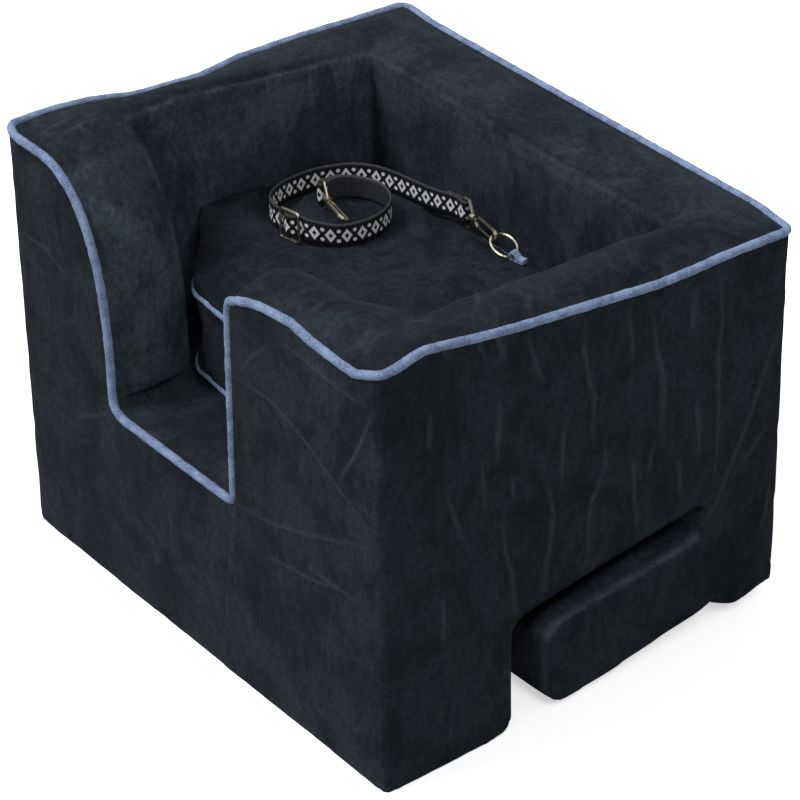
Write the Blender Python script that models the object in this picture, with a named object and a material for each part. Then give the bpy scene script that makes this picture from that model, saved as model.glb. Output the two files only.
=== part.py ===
# Dog car seat: a foam booster with a sewn cover, a loose cushion and a clip-on lead.
# Metres, +Z up. The walk-in opening faces -Y, and +X is to the right seen from the front.
# The origin is on the floor, under the middle of the seat.

import math

import bmesh
import bpy
from mathutils import Matrix, Vector
from mathutils.bvhtree import BVHTree

# Driving sizes of the seat
seat_width = 0.455
seat_depth = 0.382
front_height = 0.356
rim_fall = 0.021
sill_height = 0.163
side_wall = 0.0525
back_wall = 0.076
front_wall = 0.074

# Cloth, foam and sewing
cloth = 0.0018
seam_gap = 0.0003
piping_radius = 0.003
piping_inset = 0.0025
outer_corner = 0.009
inner_rim_radius = 0.012
floor_lift = 0.0006
overrun = 0.02
arc_steps = 5
least_mitre_share = 0.3
sharp_angle = math.radians(50)

# Walk-in opening, seen from the front
opening_left = -0.104
opening_right = 0.050
shoulder_start = -0.185
shoulder_foot = 0.200
shoulder_top_handle = 0.056
shoulder_side_handle = 0.095
opening_lean = 0.004
right_shoulder_radius = 0.026
sill_left_radius = 0.012
sill_right_radius = 0.005
shoulder_steps = 9

# Vehicle belt channel, seen from the side: up behind the front leg, then back over the tongue
leg_depth = 0.119
slot_setback = 0.079
slot_ceiling_front = 0.0995
slot_ceiling_back = 0.1125
channel_mouth = 0.036
tongue_top_front = 0.073
tongue_top_back = 0.0865
tongue_under_tip = 0.003
tongue_under_root = 0.014
foot_slope = 0.025
foot_depth = 0.041
leg_heel_radius = 0.014
slot_corner_radius = 0.016
slot_end_radius = 0.006
tongue_nose_radius = 0.018
tongue_chin_radius = 0.014
channel_steps = 3
hem = 0.004

# Zip along the back of the cover, above the hem
zip_height = 0.030
zip_opening = 0.016
zip_half_length = 0.185
zip_recess = 0.0066
tape_thickness = 0.0008
tape_overlap = 0.004
chain_width = 0.0052
chain_thickness = 0.0018
chain_pitch = 0.004
slider_end_gap = 0.019
slider_length = 0.011
slider_width = 0.0085
slider_plate = 0.0009
bail_length = 0.007
bail_width = 0.0018
bail_thickness = 0.0007
bail_opening = 0.0017
pull_length = 0.0190
pull_width = 0.0068
pull_thickness = 0.0009
pull_bar = 0.0010
pull_eye = (0.0050, 0.0032)

# Loose cushion
cushion_clearance = 0.0015
cushion_back_clearance = 0.005
cushion_front_bulge = 0.006
cushion_base_lift = 0.0004
cushion_low_edge = 0.172
cushion_edge_height = 0.240
cushion_crown = 0.016
crown_power = 16
cushion_rear_sag = 0.004
sag_half_width = 0.060
cushion_front_corner = 0.075
cushion_rear_corner = 0.030
cushion_side_draw = 0.005
boxing_draw = 0.006
boxing_inset = 0.0012
cushion_piping_radius = 0.0024
cushion_gap = 0.0006
core_trim = 0.0008
edge_roll = 0.0050
bottom_roll = 0.015
brim_share = 0.8
crown_ring_shares = (0.88, 0.78, 0.62, 0.40, 0.20)

# Lead and its fittings
webbing_width = 0.020
webbing_thickness = 0.0016
webbing_lift = 0.0007
webbing_spacing = 0.005
fitting_lift = 0.0042
fitting_lift_reach = 0.030
sewn_return = 0.024
return_gap = 0.0004
weave_gap = 0.0006
fold_gap = 0.0007
fold_start = 0.006
wire_radius = 0.0012
eye_depth = 0.011
eye_margin = 0.0010
collar_radius = 0.0032
collar_length = 0.0045
waist_share = 0.75
bore_gap = 0.00035
head_radius = 0.0025
head_length = 0.0018
hook_wire_radius = 0.0014
hook_half_width = 0.0046
hook_nose = 0.0466
hook_tip = 0.0405
hook_shoulder = 0.017
gate_start = 0.0202
gate_radius = 0.0010
gate_gap = 0.0004
neck_share = 0.8
ring_radius = 0.0112
ring_wire_radius = 0.0012
ring_seat = 0.0424
ring_reach = 0.0197
ring_heading = (0.97, 0.24)
tab_width = 0.006
tab_thickness = 0.0014
tab_fold_gap = 0.0012
tab_tail = 0.010
adjuster_length = 0.021
adjuster_height = 0.0275
adjuster_wire = 0.0011
bar_share = 0.9
adjuster_place = 14.3

# The lead's middle line on the cushion, from the outer eye's bar to the inner eye's: across the seat from its
# middle, and back from the back wall
lead_route = [
    (-0.0296, -0.0210), (-0.0412, -0.0224), (-0.0554, -0.0259), (-0.0781, -0.0306), (-0.1003, -0.0344),
    (-0.1190, -0.0404), (-0.1330, -0.0514), (-0.1427, -0.0662), (-0.1489, -0.0818), (-0.1500, -0.0977),
    (-0.1456, -0.1141), (-0.1373, -0.1277), (-0.1267, -0.1366), (-0.1130, -0.1418), (-0.0976, -0.1426),
    (-0.0822, -0.1381), (-0.0698, -0.1282), (-0.0608, -0.1151), (-0.0564, -0.0991), (-0.0578, -0.0821),
    (-0.0655, -0.0674), (-0.0778, -0.0579), (-0.0924, -0.0542), (-0.1059, -0.0576), (-0.1156, -0.0671),
    (-0.1193, -0.0793), (-0.1183, -0.0933),
]
outer_heading = (0.98, -0.17)
inner_heading = (0.97, -0.24)
inner_roll = 0.9

# Worked out from the sizes above
half_width = seat_width / 2
half_depth = seat_depth / 2
rear_height = front_height - rim_fall
leg_back = -half_depth + leg_depth
slot_end = half_depth - slot_setback
tongue_tip = leg_back + channel_mouth
foot_front = half_depth - foot_depth
tongue_root = foot_front - foot_slope
slider_place = zip_half_length - slider_end_gap
skin = cloth + seam_gap
edge_trim = piping_inset + piping_radius + seam_gap
well_half = half_width - side_wall
well_back = half_depth - back_wall
well_front = -half_depth + front_wall
deck_top = sill_height - skin
wall_foot = deck_top + seam_gap


def clear_scene():
    for obj in list(bpy.data.objects):
        bpy.data.objects.remove(obj, do_unlink=True)


def new_collection(name):
    collection = bpy.data.collections.new(name)
    bpy.context.scene.collection.children.link(collection)
    return collection


def new_material(name, colour, roughness, metallic=0.0):
    material = bpy.data.materials.new(name)
    material.use_nodes = True
    shader = material.node_tree.nodes["Principled BSDF"]
    shader.inputs["Base Color"].default_value = (*colour, 1.0)
    shader.inputs["Roughness"].default_value = roughness
    shader.inputs["Metallic"].default_value = metallic
    material.diffuse_color = (*colour, 1.0)
    return material


clear_scene()
parts = new_collection("dog_car_seat")
cutters = new_collection("cutters")
cutters.hide_render = True

suede = new_material("charcoal_suede", (0.022, 0.023, 0.027), 0.92)
piping_cloth = new_material("blue_piping", (0.13, 0.20, 0.38), 0.85)
foam = new_material("foam", (0.82, 0.78, 0.62), 0.95)
webbing = new_material("black_webbing", (0.018, 0.018, 0.020), 0.75)
nickel = new_material("nickel", (0.72, 0.68, 0.60), 0.28, 1.0)
zip_black = new_material("zip_black", (0.015, 0.015, 0.017), 0.45)


def finish(obj, material, collection=None):
    for old in list(obj.users_collection):
        old.objects.unlink(obj)
    (collection or parts).objects.link(obj)
    if material:
        obj.data.materials.clear()
        obj.data.materials.append(material)
        obj.data.shade_smooth()
        obj.data.set_sharp_from_angle(angle=sharp_angle)
    return obj


def as_cutter(obj):
    obj.hide_render = True
    obj.display_type = "WIRE"
    return finish(obj, None, cutters)


def to_mesh(obj):
    """The object's evaluated shape as a new mesh object with its caps welded, which replaces it."""
    bpy.context.scene.collection.objects.link(obj)
    bpy.context.view_layer.update()
    graph = bpy.context.evaluated_depsgraph_get()
    mesh = bpy.data.meshes.new_from_object(obj.evaluated_get(graph))
    name = obj.name
    matrix = obj.matrix_world.copy()
    data = obj.data
    bpy.data.objects.remove(obj, do_unlink=True)
    bpy.data.curves.remove(data)
    work = bmesh.new()
    work.from_mesh(mesh)
    bmesh.ops.remove_doubles(work, verts=work.verts, dist=seam_gap / 30)
    bmesh.ops.dissolve_degenerate(work, edges=work.edges, dist=seam_gap / 30)
    bmesh.ops.recalc_face_normals(work, faces=work.faces)
    work.to_mesh(mesh)
    work.free()
    solid = bpy.data.objects.new(name, mesh)
    solid.matrix_world = matrix
    return solid


frames = {
    "X": Matrix(((0, 0, 1, 0), (1, 0, 0, 0), (0, 1, 0, 0), (0, 0, 0, 1))),
    "Y": Matrix(((1, 0, 0, 0), (0, 0, -1, 0), (0, 1, 0, 0), (0, 0, 0, 1))),
    "Z": Matrix.Identity(4),
}


def plate(name, outline, axis, low, high, holes=()):
    """A flat outline made into a slab along an axis: (y, z) for X, (x, z) for Y, (x, y) for Z."""
    curve = bpy.data.curves.new(name, "CURVE")
    curve.dimensions = "2D"
    curve.fill_mode = "BOTH"
    curve.extrude = (high - low) / 2
    for loop in (outline, *holes):
        spline = curve.splines.new("POLY")
        spline.points.add(len(loop) - 1)
        for point, (a, b) in zip(spline.points, loop):
            point.co = (a, b, 0, 1)
        spline.use_cyclic_u = True
    obj = bpy.data.objects.new(name, curve)
    middle = (high + low) / 2
    shift = {"X": (middle, 0, 0), "Y": (0, middle, 0), "Z": (0, 0, middle)}[axis]
    obj.matrix_world = Matrix.Translation(shift) @ frames[axis]
    solid = to_mesh(obj)
    solid.data.transform(solid.matrix_world)
    solid.matrix_world = Matrix.Identity(4)
    return solid


def tube(name, points, radius, cyclic=False, resolution=1):
    curve = bpy.data.curves.new(name, "CURVE")
    curve.dimensions = "3D"
    curve.bevel_depth = radius
    curve.bevel_resolution = resolution
    curve.use_fill_caps = True
    spline = curve.splines.new("POLY")
    spline.points.add(len(points) - 1)
    for point, place in zip(spline.points, points):
        point.co = (*place, 1)
    spline.use_cyclic_u = cyclic
    return bpy.data.objects.new(name, curve)


def boolean(obj, other, operation="DIFFERENCE", solver="EXACT"):
    modifier = obj.modifiers.new(other.name, "BOOLEAN")
    modifier.solver = solver
    modifier.operation = operation
    modifier.object = other
    return obj


def arc(centre, radius, start, end, steps=arc_steps):
    return [
        (
            centre[0] + radius * math.cos(start + (end - start) * i / steps),
            centre[1] + radius * math.sin(start + (end - start) * i / steps),
        )
        for i in range(steps + 1)
    ]


def rounded(corners, closed=True, steps=arc_steps):
    """A polyline whose corners, given as (a, b, radius), become arcs."""
    line = []
    count = len(corners)
    for i, (a, b, radius) in enumerate(corners):
        if radius == 0 or (not closed and i in (0, count - 1)):
            line.append((a, b))
            continue
        here = Vector((a, b))
        before = (Vector(corners[i - 1][:2]) - here).normalized()
        after = (Vector(corners[(i + 1) % count][:2]) - here).normalized()
        half_angle = before.angle(after) / 2
        reach = radius / math.tan(half_angle)
        centre = here + (before + after).normalized() * radius / math.sin(half_angle)
        first = here + before * reach - centre
        last = here + after * reach - centre
        start = math.atan2(first.y, first.x)
        turn = math.atan2(first.cross(last), first.dot(last))
        line += arc(centre, radius, start, start + turn, steps)
    return line


def offset(line, distance, closed=False):
    """The line moved sideways: to the left of its direction for a positive distance."""
    count = len(line)
    moved = []
    for i, point in enumerate(line):
        here = Vector(point)
        ahead = Vector(line[(i + 1) % count]) - here if closed or i < count - 1 else None
        behind = here - Vector(line[i - 1]) if closed or i > 0 else None
        ahead = ahead or behind
        behind = behind or ahead
        a = Vector((-ahead.y, ahead.x)).normalized()
        b = Vector((-behind.y, behind.x)).normalized()
        normal = (a + b).normalized()
        place = here + normal * distance / max(normal.dot(a), least_mitre_share)
        moved.append((place.x, place.y))
    return moved


def rim_height(y):
    """Height of the rim, which falls from the front to the back."""
    share = (y + half_depth) / seat_depth
    return front_height + (rear_height - front_height) * share


def rake(obj):
    """Lowers everything above the sill in proportion, so that a level rim follows rim_height."""
    for vertex in obj.data.vertices:
        place = obj.matrix_world @ vertex.co
        if place.z > sill_height:
            scale = (rim_height(place.y) - sill_height) / (front_height - sill_height)
            vertex.co.z = sill_height + (place.z - sill_height) * scale
    return obj


def rounded_plan(inset, radius):
    x = half_width - inset
    y = half_depth - inset
    return rounded([(-x, -y, radius), (x, -y, radius), (x, y, radius), (-x, y, radius)])


def bezier(a, b, c, d, steps):
    line = []
    for i in range(steps + 1):
        t = i / steps
        place = (
            Vector(a) * (1 - t) ** 3
            + Vector(b) * 3 * t * (1 - t) ** 2
            + Vector(c) * 3 * t * t * (1 - t)
            + Vector(d) * t ** 3
        )
        line.append((place.x, place.y))
    return line


def opening_parts():
    """The front rim as (x, z): left shoulder and post, sill with both its corners, right post."""
    shoulder = bezier(
        (shoulder_start, front_height),
        (shoulder_start + shoulder_top_handle, front_height),
        (opening_left, shoulder_foot + shoulder_side_handle),
        (opening_left, shoulder_foot),
        shoulder_steps,
    )
    foot = (opening_left, sill_height + sill_left_radius + 2 * seam_gap)
    left = [(-half_width, front_height), *shoulder, foot]
    right_top = (opening_right + opening_lean, front_height, right_shoulder_radius)
    sill = rounded(
        [
            (opening_left, front_height, 0),
            (opening_left, sill_height, sill_left_radius),
            (opening_right, sill_height, sill_right_radius),
            (*right_top[:2], 0),
        ],
        closed=False,
    )[1:-1]
    right = rounded(
        [(*sill[-1], 0), right_top, (half_width, front_height, 0)],
        closed=False,
    )
    lift = Vector(right[1]) - Vector(right[0])
    right[0] = (Vector(right[0]) + lift.normalized() * 2 * seam_gap).to_tuple()
    return left, sill, right


opening_left_part, opening_sill_part, opening_right_part = opening_parts()
opening = opening_left_part + opening_sill_part + opening_right_part


def inside_opening(distance, line=opening):
    """The opening line, or a part of it, moved into the seat by a distance."""
    return offset(line, -distance)


def channel_parts():
    """The belt channel's wall as (y, z): up the leg to the slot's end, then round the tongue to its foot."""
    line = rounded(
        [
            (leg_back - leg_heel_radius - hem, 0, 0),
            (leg_back, 0, leg_heel_radius),
            (leg_back, slot_ceiling_front, slot_corner_radius),
            (slot_end, slot_ceiling_back, slot_end_radius),
            (slot_end, tongue_top_back, slot_end_radius),
            (tongue_tip, tongue_top_front, tongue_nose_radius),
            (tongue_tip, tongue_under_tip, tongue_chin_radius),
            (tongue_root, tongue_under_root, tongue_nose_radius),
            (foot_front, 0, tongue_chin_radius),
            (foot_front + 2 * hem, 0, 0),
        ],
        closed=False,
        steps=channel_steps,
    )
    middle = (slot_ceiling_back + tongue_top_back) / 2
    near_end = slot_end - slot_end_radius
    turn = next(i for i, point in enumerate(line) if point[1] < middle and point[0] > near_end)
    leg = line[:turn] + [(slot_end, middle + seam_gap / 2)]
    tongue = [(slot_end, middle - seam_gap / 2)] + line[turn:]
    return leg, tongue


channel_leg_part, channel_tongue_part = channel_parts()


def channel_cutter():
    line = channel_leg_part + channel_tongue_part
    below = [(line[-1][0], -overrun), (line[0][0], -overrun)]
    return as_cutter(plate("channel_cutter", line + below, "X", -half_width - overrun, half_width + overrun))


def strip(line, thickness):
    """A closed outline between a line and its copy moved sideways by a thickness, to the left if positive."""
    return line + offset(line, thickness)[::-1]


def start_at(line, reach):
    """A line that runs in from the side, begun where it comes within a reach of the middle."""
    for i, (first, second) in enumerate(zip(line, line[1:])):
        if abs(first[0]) >= reach > abs(second[0]):
            share = (abs(first[0]) - reach) / (abs(first[0]) - abs(second[0]))
            crossing = Vector(first).lerp(Vector(second), share)
            return [crossing.to_tuple(), *line[i + 1 :]]
    return line


# Cutters shared by several pieces

foam_plan = as_cutter(
    plate("foam_plan", rounded_plan(skin, outer_corner - skin), "Z", -overrun, front_height + overrun)
)
rim_outline = rounded_plan(edge_trim, outer_corner - edge_trim)
rim_plan = as_cutter(plate("rim_plan", rim_outline, "Z", -overrun, front_height + overrun))
belt_channel = channel_cutter()


def rim_piping_path():
    """One closed line: over the front rim and through the opening, then round the sides and back."""
    inset = piping_inset
    edge = half_width - outer_corner
    top = front_height - inset
    across = [(x, -half_depth + inset, z) for x, z in inside_opening(inset) if abs(x) < edge]
    front = [(-edge, -half_depth + inset, top), *across, (edge, -half_depth + inset, top)]
    quarter = math.pi / 2
    turns = []
    for x, side, start in ((edge, -1, -quarter), (edge, 1, 0), (-edge, 1, quarter), (-edge, -1, 2 * quarter)):
        centre = (x, side * (half_depth - outer_corner))
        turns += [(a, b, top) for a, b in arc(centre, outer_corner - inset, start, start + quarter)]
    return front + turns[1:-1]


def rim_tube(name, radius):
    return rake(to_mesh(tube(name, rim_piping_path(), radius, cyclic=True)))


groove = as_cutter(rim_tube("piping_groove", piping_radius + 2 * seam_gap))


# Foam blocks


def foam_block(name, outline, axis, low, high, *cuts):
    solid = finish(rake(plate(name, outline, axis, low, high)), foam)
    boolean(solid, foam_plan, "INTERSECT")
    for cutter in cuts:
        boolean(solid, cutter, solver="MANIFOLD")
    return solid


def ceiling(y):
    """Height of the foam's underside above the belt slot."""
    slope = (slot_ceiling_back - slot_ceiling_front) / (slot_end - leg_back)
    return slot_ceiling_front + slope * (y - leg_back) + skin * math.hypot(1, slope)


def base_foams():
    leg_edge = leg_back - skin
    front = -half_depth + skin
    back = half_depth - skin
    joint = ceiling(leg_edge)
    riser_front = slot_end + skin
    roof = ceiling(riser_front)
    riser_foot = tongue_top_back + slot_end_radius
    deck = [
        (front, joint),
        (leg_edge, joint),
        (riser_front, roof),
        (back, roof),
        (back, deck_top),
        (front, deck_top),
    ]
    foam_block("deck_foam", deck, "X", -half_width, half_width, groove)
    leg = rounded(
        [
            (front, skin, 0),
            (leg_edge, skin, leg_heel_radius - skin),
            (leg_edge, joint - seam_gap, 0),
            (front, joint - seam_gap, 0),
        ],
        steps=channel_steps,
    )
    foam_block("front_leg_foam", leg, "X", -half_width, half_width)
    riser = [
        (riser_front, riser_foot + seam_gap),
        (back, riser_foot + seam_gap),
        (back, roof - seam_gap),
        (riser_front, roof - seam_gap),
    ]
    foam_block("rear_riser_foam", riser, "X", -half_width, half_width)
    inside = [point for point in offset(channel_tongue_part, skin) if point[1] < riser_foot]
    tongue = [(riser_front, riser_foot), *inside, (back, skin), (back, riser_foot)]
    floor = half_depth - skin - zip_recess
    low = zip_height - zip_opening / 2
    high = zip_height + zip_opening / 2
    reach = zip_half_length + tape_overlap
    recess = [(floor, low), (half_depth + overrun, low), (half_depth + overrun, high), (floor, high)]
    window = as_cutter(plate("zip_window", recess, "X", -reach, reach))
    foam_block("tongue_foam", tongue, "X", -half_width, half_width, window)
    return window


def wall_outline(side, outer, inner):
    """Section of a wall as (across, z), with its inner top edge rounded to fit under the rim cover."""
    return rounded(
        [
            (side * outer, wall_foot, 0),
            (side * inner, wall_foot, 0),
            (side * inner, front_height - skin, inner_rim_radius - skin),
            (side * outer, front_height - skin, 0),
        ]
    )


def post_foam(name, line, side):
    """A front post between the side wall and the opening."""
    reach = well_half - seam_gap
    edge = start_at(inside_opening(skin, line)[::-side], reach)
    foot = edge[-1][0]
    outline = [*edge, (foot, wall_foot), (side * reach, wall_foot)]
    foam_block(name, outline, "Y", -half_depth, well_front - skin, groove)


def upper_foams():
    side_section = (half_width - skin, well_half + skin)
    foam_block("left_wall_foam", wall_outline(-1, *side_section), "Y", -half_depth, half_depth, groove)
    foam_block("right_wall_foam", wall_outline(1, *side_section), "Y", -half_depth, half_depth, groove)
    reach = well_half - seam_gap
    back_section = (half_depth, well_back + skin)
    foam_block("back_wall_foam", wall_outline(1, *back_section), "X", -reach, reach, groove)
    post_foam("left_post_foam", opening_left_part, -1)
    post_foam("right_post_foam", opening_right_part, 1)


zip_window = base_foams()
upper_foams()


# Cover panels that go round the outside, each from one corner seam to the next


def corner_arc(index, radius, start_share, end_share):
    """Part of the plan arc at a corner, counted from front left, anticlockwise seen from above."""
    x = (half_width - outer_corner) * (-1 if index in (0, 3) else 1)
    y = (half_depth - outer_corner) * (-1 if index in (0, 1) else 1)
    quarter = math.pi / 2
    begin = math.pi + index * quarter
    return arc((x, y), radius, begin + quarter * start_share, begin + quarter * end_share, 3)


def wrap_panel(name, index, top):
    """A cover panel from the middle of one corner to the middle of the next."""
    half_share = 0.5
    gap_share = seam_gap / (outer_corner * math.pi)
    first = half_share + gap_share
    last = half_share - gap_share
    following = (index + 1) % 4
    inside = outer_corner - cloth
    outer = corner_arc(index, outer_corner, first, 1) + corner_arc(following, outer_corner, 0, last)
    inner = corner_arc(index, inside, first, 1) + corner_arc(following, inside, 0, last)
    return finish(rake(plate(name, outer + inner[::-1], "Z", floor_lift, top)), suede)


def outer_covers():
    top = front_height - edge_trim
    line = [point for point in inside_opening(edge_trim) if abs(point[0]) < half_width - outer_corner]
    above = front_height + overrun
    opening_cutter = plate(
        "opening_cutter",
        [*line, (line[-1][0], above), (line[0][0], above)],
        "Y",
        -half_depth - overrun,
        -half_depth + outer_corner,
    )
    boolean(wrap_panel("front_cover", 0, top), as_cutter(opening_cutter))
    boolean(wrap_panel("right_side_cover", 1, top), belt_channel)
    boolean(wrap_panel("back_cover", 2, top), zip_window)
    boolean(wrap_panel("left_side_cover", 3, top), belt_channel)


outer_covers()


# Rim and well lining: each section is a flat rim strip, a round edge and an upright inner face


plan_corners = [
    (-half_width, -half_depth),
    (half_width, -half_depth),
    (half_width, half_depth),
    (-half_width, half_depth),
]
well_corners = [
    (-well_half, well_front),
    (well_half, well_front),
    (well_half, well_back),
    (-well_half, well_back),
]


def rim_zone(name, index):
    """The plan area whose rim belongs to one wall, between the mitres at two corners."""
    following = (index + 1) % 4
    mitre_share = 0.2
    ends = []
    for corner in (index, following):
        outer = Vector(plan_corners[corner])
        inner = Vector(well_corners[corner])
        ends.append((outer.lerp(inner, -mitre_share), outer.lerp(inner, 1 + mitre_share)))
    corners = [ends[0][0], ends[1][0], ends[1][1], ends[0][1]]
    zone = offset([corner.to_tuple() for corner in corners], seam_gap / 2, closed=True)
    return as_cutter(plate(name, zone, "Z", -overrun, front_height + overrun))


front_zone, right_zone, back_zone, left_zone = [
    rim_zone(name, index) for index, name in enumerate(("front_zone", "right_zone", "back_zone", "left_zone"))
]


def rim_section(outer, inner, side):
    """(across, z) outline of a rim strip with its round edge and the lining below it."""
    line = rounded(
        [
            (side * outer, front_height, 0),
            (side * inner, front_height, inner_rim_radius),
            (side * inner, sill_height + seam_gap, 0),
        ],
        closed=False,
    )
    return strip(line, side * cloth)


def rim_cover(name, section, axis, reach, zone):
    cover = finish(rake(plate(name, section, axis, -reach, reach)), suede)
    boolean(cover, rim_plan, "INTERSECT")
    boolean(cover, zone, "INTERSECT")


def rim_covers():
    side_outer = half_width - edge_trim
    rim_cover("left_rim_cover", rim_section(side_outer, well_half, -1), "Y", half_depth, left_zone)
    rim_cover("right_rim_cover", rim_section(side_outer, well_half, 1), "Y", half_depth, right_zone)
    back_outer = half_depth - edge_trim
    rim_cover("back_rim_cover", rim_section(back_outer, well_back, 1), "X", half_width, back_zone)


rim_covers()


# Covers of the two front posts, the sill and the deck


def opening_covers():
    front = -half_depth + edge_trim
    posts = (("left_post", opening_left_part, -1), ("right_post", opening_right_part, 1))
    for name, line, side in posts:
        outline = strip(line, -cloth)
        cover = finish(rake(plate(f"{name}_cover", outline, "Y", front, well_front - skin)), suede)
        boolean(cover, rim_plan, "INTERSECT")
        boolean(cover, front_zone, "INTERSECT")
        edge = start_at(line[::-side], well_half - seam_gap)
        foot = sill_height + seam_gap
        lining = [*edge, (edge[-1][0], foot), (side * (well_half - seam_gap), foot)]
        finish(rake(plate(f"{name}_lining", lining, "Y", well_front - cloth, well_front)), suede)
    sill = strip(opening_sill_part, -cloth)
    finish(plate("sill_cover", sill, "Y", front, well_front - skin), suede)
    x = well_half - seam_gap
    low = well_front - cloth
    front = well_front + seam_gap
    back = well_back - seam_gap
    deck = [(-x, front), (x, front), (x, back), (-x, back)]
    left = opening_left + sill_left_radius
    right = opening_right - sill_right_radius
    tongue = [(left, well_front + seam_gap), (left, low), (right, low), (right, well_front + seam_gap)]
    outline = [deck[0], *tongue, *deck[1:]]
    finish(plate("deck_cover", outline, "Z", sill_height - cloth, sill_height), suede)


opening_covers()


# Linings of the belt channel and the two soles that the seat stands on


def base_covers():
    reach = half_width - skin
    finish(plate("leg_lining", strip(channel_leg_part, cloth), "X", -reach, reach), suede)
    finish(plate("tongue_cover", strip(channel_tongue_part, cloth), "X", -reach, reach), suede)
    round_edge = outer_corner - skin
    heel = channel_leg_part[0][0] - seam_gap
    foot = channel_tongue_part[-1][0] + seam_gap
    edge = half_depth - skin
    leg = rounded(
        [(-reach, -edge, round_edge), (reach, -edge, round_edge), (reach, heel, 0), (-reach, heel, 0)]
    )
    rear = rounded(
        [(-reach, foot, 0), (reach, foot, 0), (reach, edge, round_edge), (-reach, edge, round_edge)]
    )
    finish(plate("front_sole", leg, "Z", 0, cloth), suede)
    finish(plate("rear_sole", rear, "Z", 0, cloth), suede)


base_covers()
finish(rim_tube("rim_piping", piping_radius), piping_cloth)


# Zip: tape, chain, slider and pull, stacked outwards from the floor of the recess


def set_origin(obj, point):
    """Moves the object's origin to a point and leaves its shape where it is."""
    obj.data.transform(Matrix.Translation(-Vector(point)))
    obj.location = point


def zip_pieces():
    tape_back = half_depth - skin - zip_recess + seam_gap
    tape_face = tape_back + tape_thickness
    reach = zip_half_length + tape_overlap - seam_gap
    half_opening = zip_opening / 2 - seam_gap
    low = zip_height - half_opening
    high = zip_height + half_opening
    outline = [(-reach, low), (reach, low), (reach, high), (-reach, high)]
    tape = plate("zip_tape", outline, "Y", tape_back, tape_face)
    finish(tape, zip_black)
    root = tape_face + seam_gap
    crest = root + chain_thickness
    teeth = round(2 * zip_half_length / chain_pitch)
    edge = [(zip_half_length, root), (-zip_half_length, root)]
    for i in range(teeth):
        start = -zip_half_length + i * chain_pitch
        edge += [(start, crest - chain_thickness / 3), (start + chain_pitch / 2, crest)]
    half_chain = chain_width / 2
    chain = plate("zip_chain", edge, "Z", zip_height - half_chain, zip_height + half_chain)
    finish(chain, zip_black)
    outer = slider_width / 2
    inner = half_chain + seam_gap
    under = crest + seam_gap
    top = under + slider_plate
    channel = [
        (root, zip_height - outer),
        (top, zip_height - outer),
        (top, zip_height + outer),
        (root, zip_height + outer),
        (root, zip_height + inner),
        (under, zip_height + inner),
        (under, zip_height - inner),
        (root, zip_height - inner),
    ]
    first = slider_place - slider_length / 2
    slider = finish(plate("zip_slider", channel, "X", first, first + slider_length), nickel)
    half_bail = bail_length / 2
    arch_top = top + bail_opening + bail_thickness
    arch = [
        (slider_place - half_bail, top - slider_plate / 2),
        (slider_place - half_bail, arch_top),
        (slider_place + half_bail, arch_top),
        (slider_place + half_bail, top - slider_plate / 2),
        (slider_place + half_bail - bail_thickness, top - slider_plate / 2),
        (slider_place + half_bail - bail_thickness, arch_top - bail_thickness),
        (slider_place - half_bail + bail_thickness, arch_top - bail_thickness),
        (slider_place - half_bail + bail_thickness, top - slider_plate / 2),
    ]
    bail = plate("zip_bail", arch, "Z", zip_height - bail_width / 2, zip_height + bail_width / 2)
    boolean(slider, as_cutter(bail), "UNION")
    set_origin(slider, (slider_place, top, zip_height))
    eye_start = slider_place + pull_bar / 2
    eye = [
        (eye_start, zip_height - pull_eye[1] / 2),
        (eye_start + pull_eye[0], zip_height - pull_eye[1] / 2),
        (eye_start + pull_eye[0], zip_height + pull_eye[1] / 2),
        (eye_start, zip_height + pull_eye[1] / 2),
    ]
    start = slider_place - pull_bar / 2
    corner = pull_width / 4
    shape = rounded(
        [
            (start, zip_height - pull_width / 2, pull_bar / 3),
            (start + pull_length, zip_height - pull_width / 2, corner),
            (start + pull_length, zip_height + pull_width / 2, corner),
            (start, zip_height + pull_width / 2, pull_bar / 3),
        ],
        steps=3,
    )
    middle = top + bail_opening / 2
    front = middle - pull_thickness / 2
    pull = plate("zip_pull", shape, "Y", front, front + pull_thickness, holes=(eye,))
    set_origin(finish(pull, nickel), (slider_place, middle, zip_height))


zip_pieces()


# Loose cushion: foam, two panels, a boxing strip and two lines of piping, all on rings round one outline


def side_line(first, last, count, draw):
    """Points between two corners of the outline, drawn to the left of their direction in the middle."""
    a = Vector(first)
    b = Vector(last)
    inward = Vector((a.y - b.y, b.x - a.x)).normalized()
    line = []
    for i in range(1, count + 1):
        share = i / (count + 1)
        line.append((a.lerp(b, share) + inward * draw * math.sin(math.pi * share)).to_tuple())
    return line


def cushion_outline():
    x = well_half - cushion_clearance
    front = well_front + cushion_clearance
    back = well_back - cushion_back_clearance
    corners = [
        (-x, front, cushion_front_corner),
        (x, front, cushion_front_corner),
        (x, back, cushion_rear_corner),
        (-x, back, cushion_rear_corner),
    ]
    steps = 4
    curves = rounded(corners, steps=steps)
    per_corner = steps + 1
    line = []
    for i, (count, draw) in enumerate(((7, 0), (4, cushion_side_draw), (6, 0), (4, cushion_side_draw))):
        turn = curves[i * per_corner : (i + 1) * per_corner]
        following = curves[(i + 1) * per_corner % len(curves)]
        line += turn + side_line(turn[-1], following, count, draw)
    half_gap = (opening_right - opening_left) / 2
    centre = (opening_right + opening_left) / 2
    bulged = []
    for a, b in line:
        away = abs(a - centre) / half_gap
        push = cushion_front_bulge * math.cos(away * math.pi / 2) ** 2 if b < 0 and away < 1 else 0
        bulged.append((a, b - push))
    return bulged


outline = cushion_outline()
cushion_middle = (well_front + well_back) / 2


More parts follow.
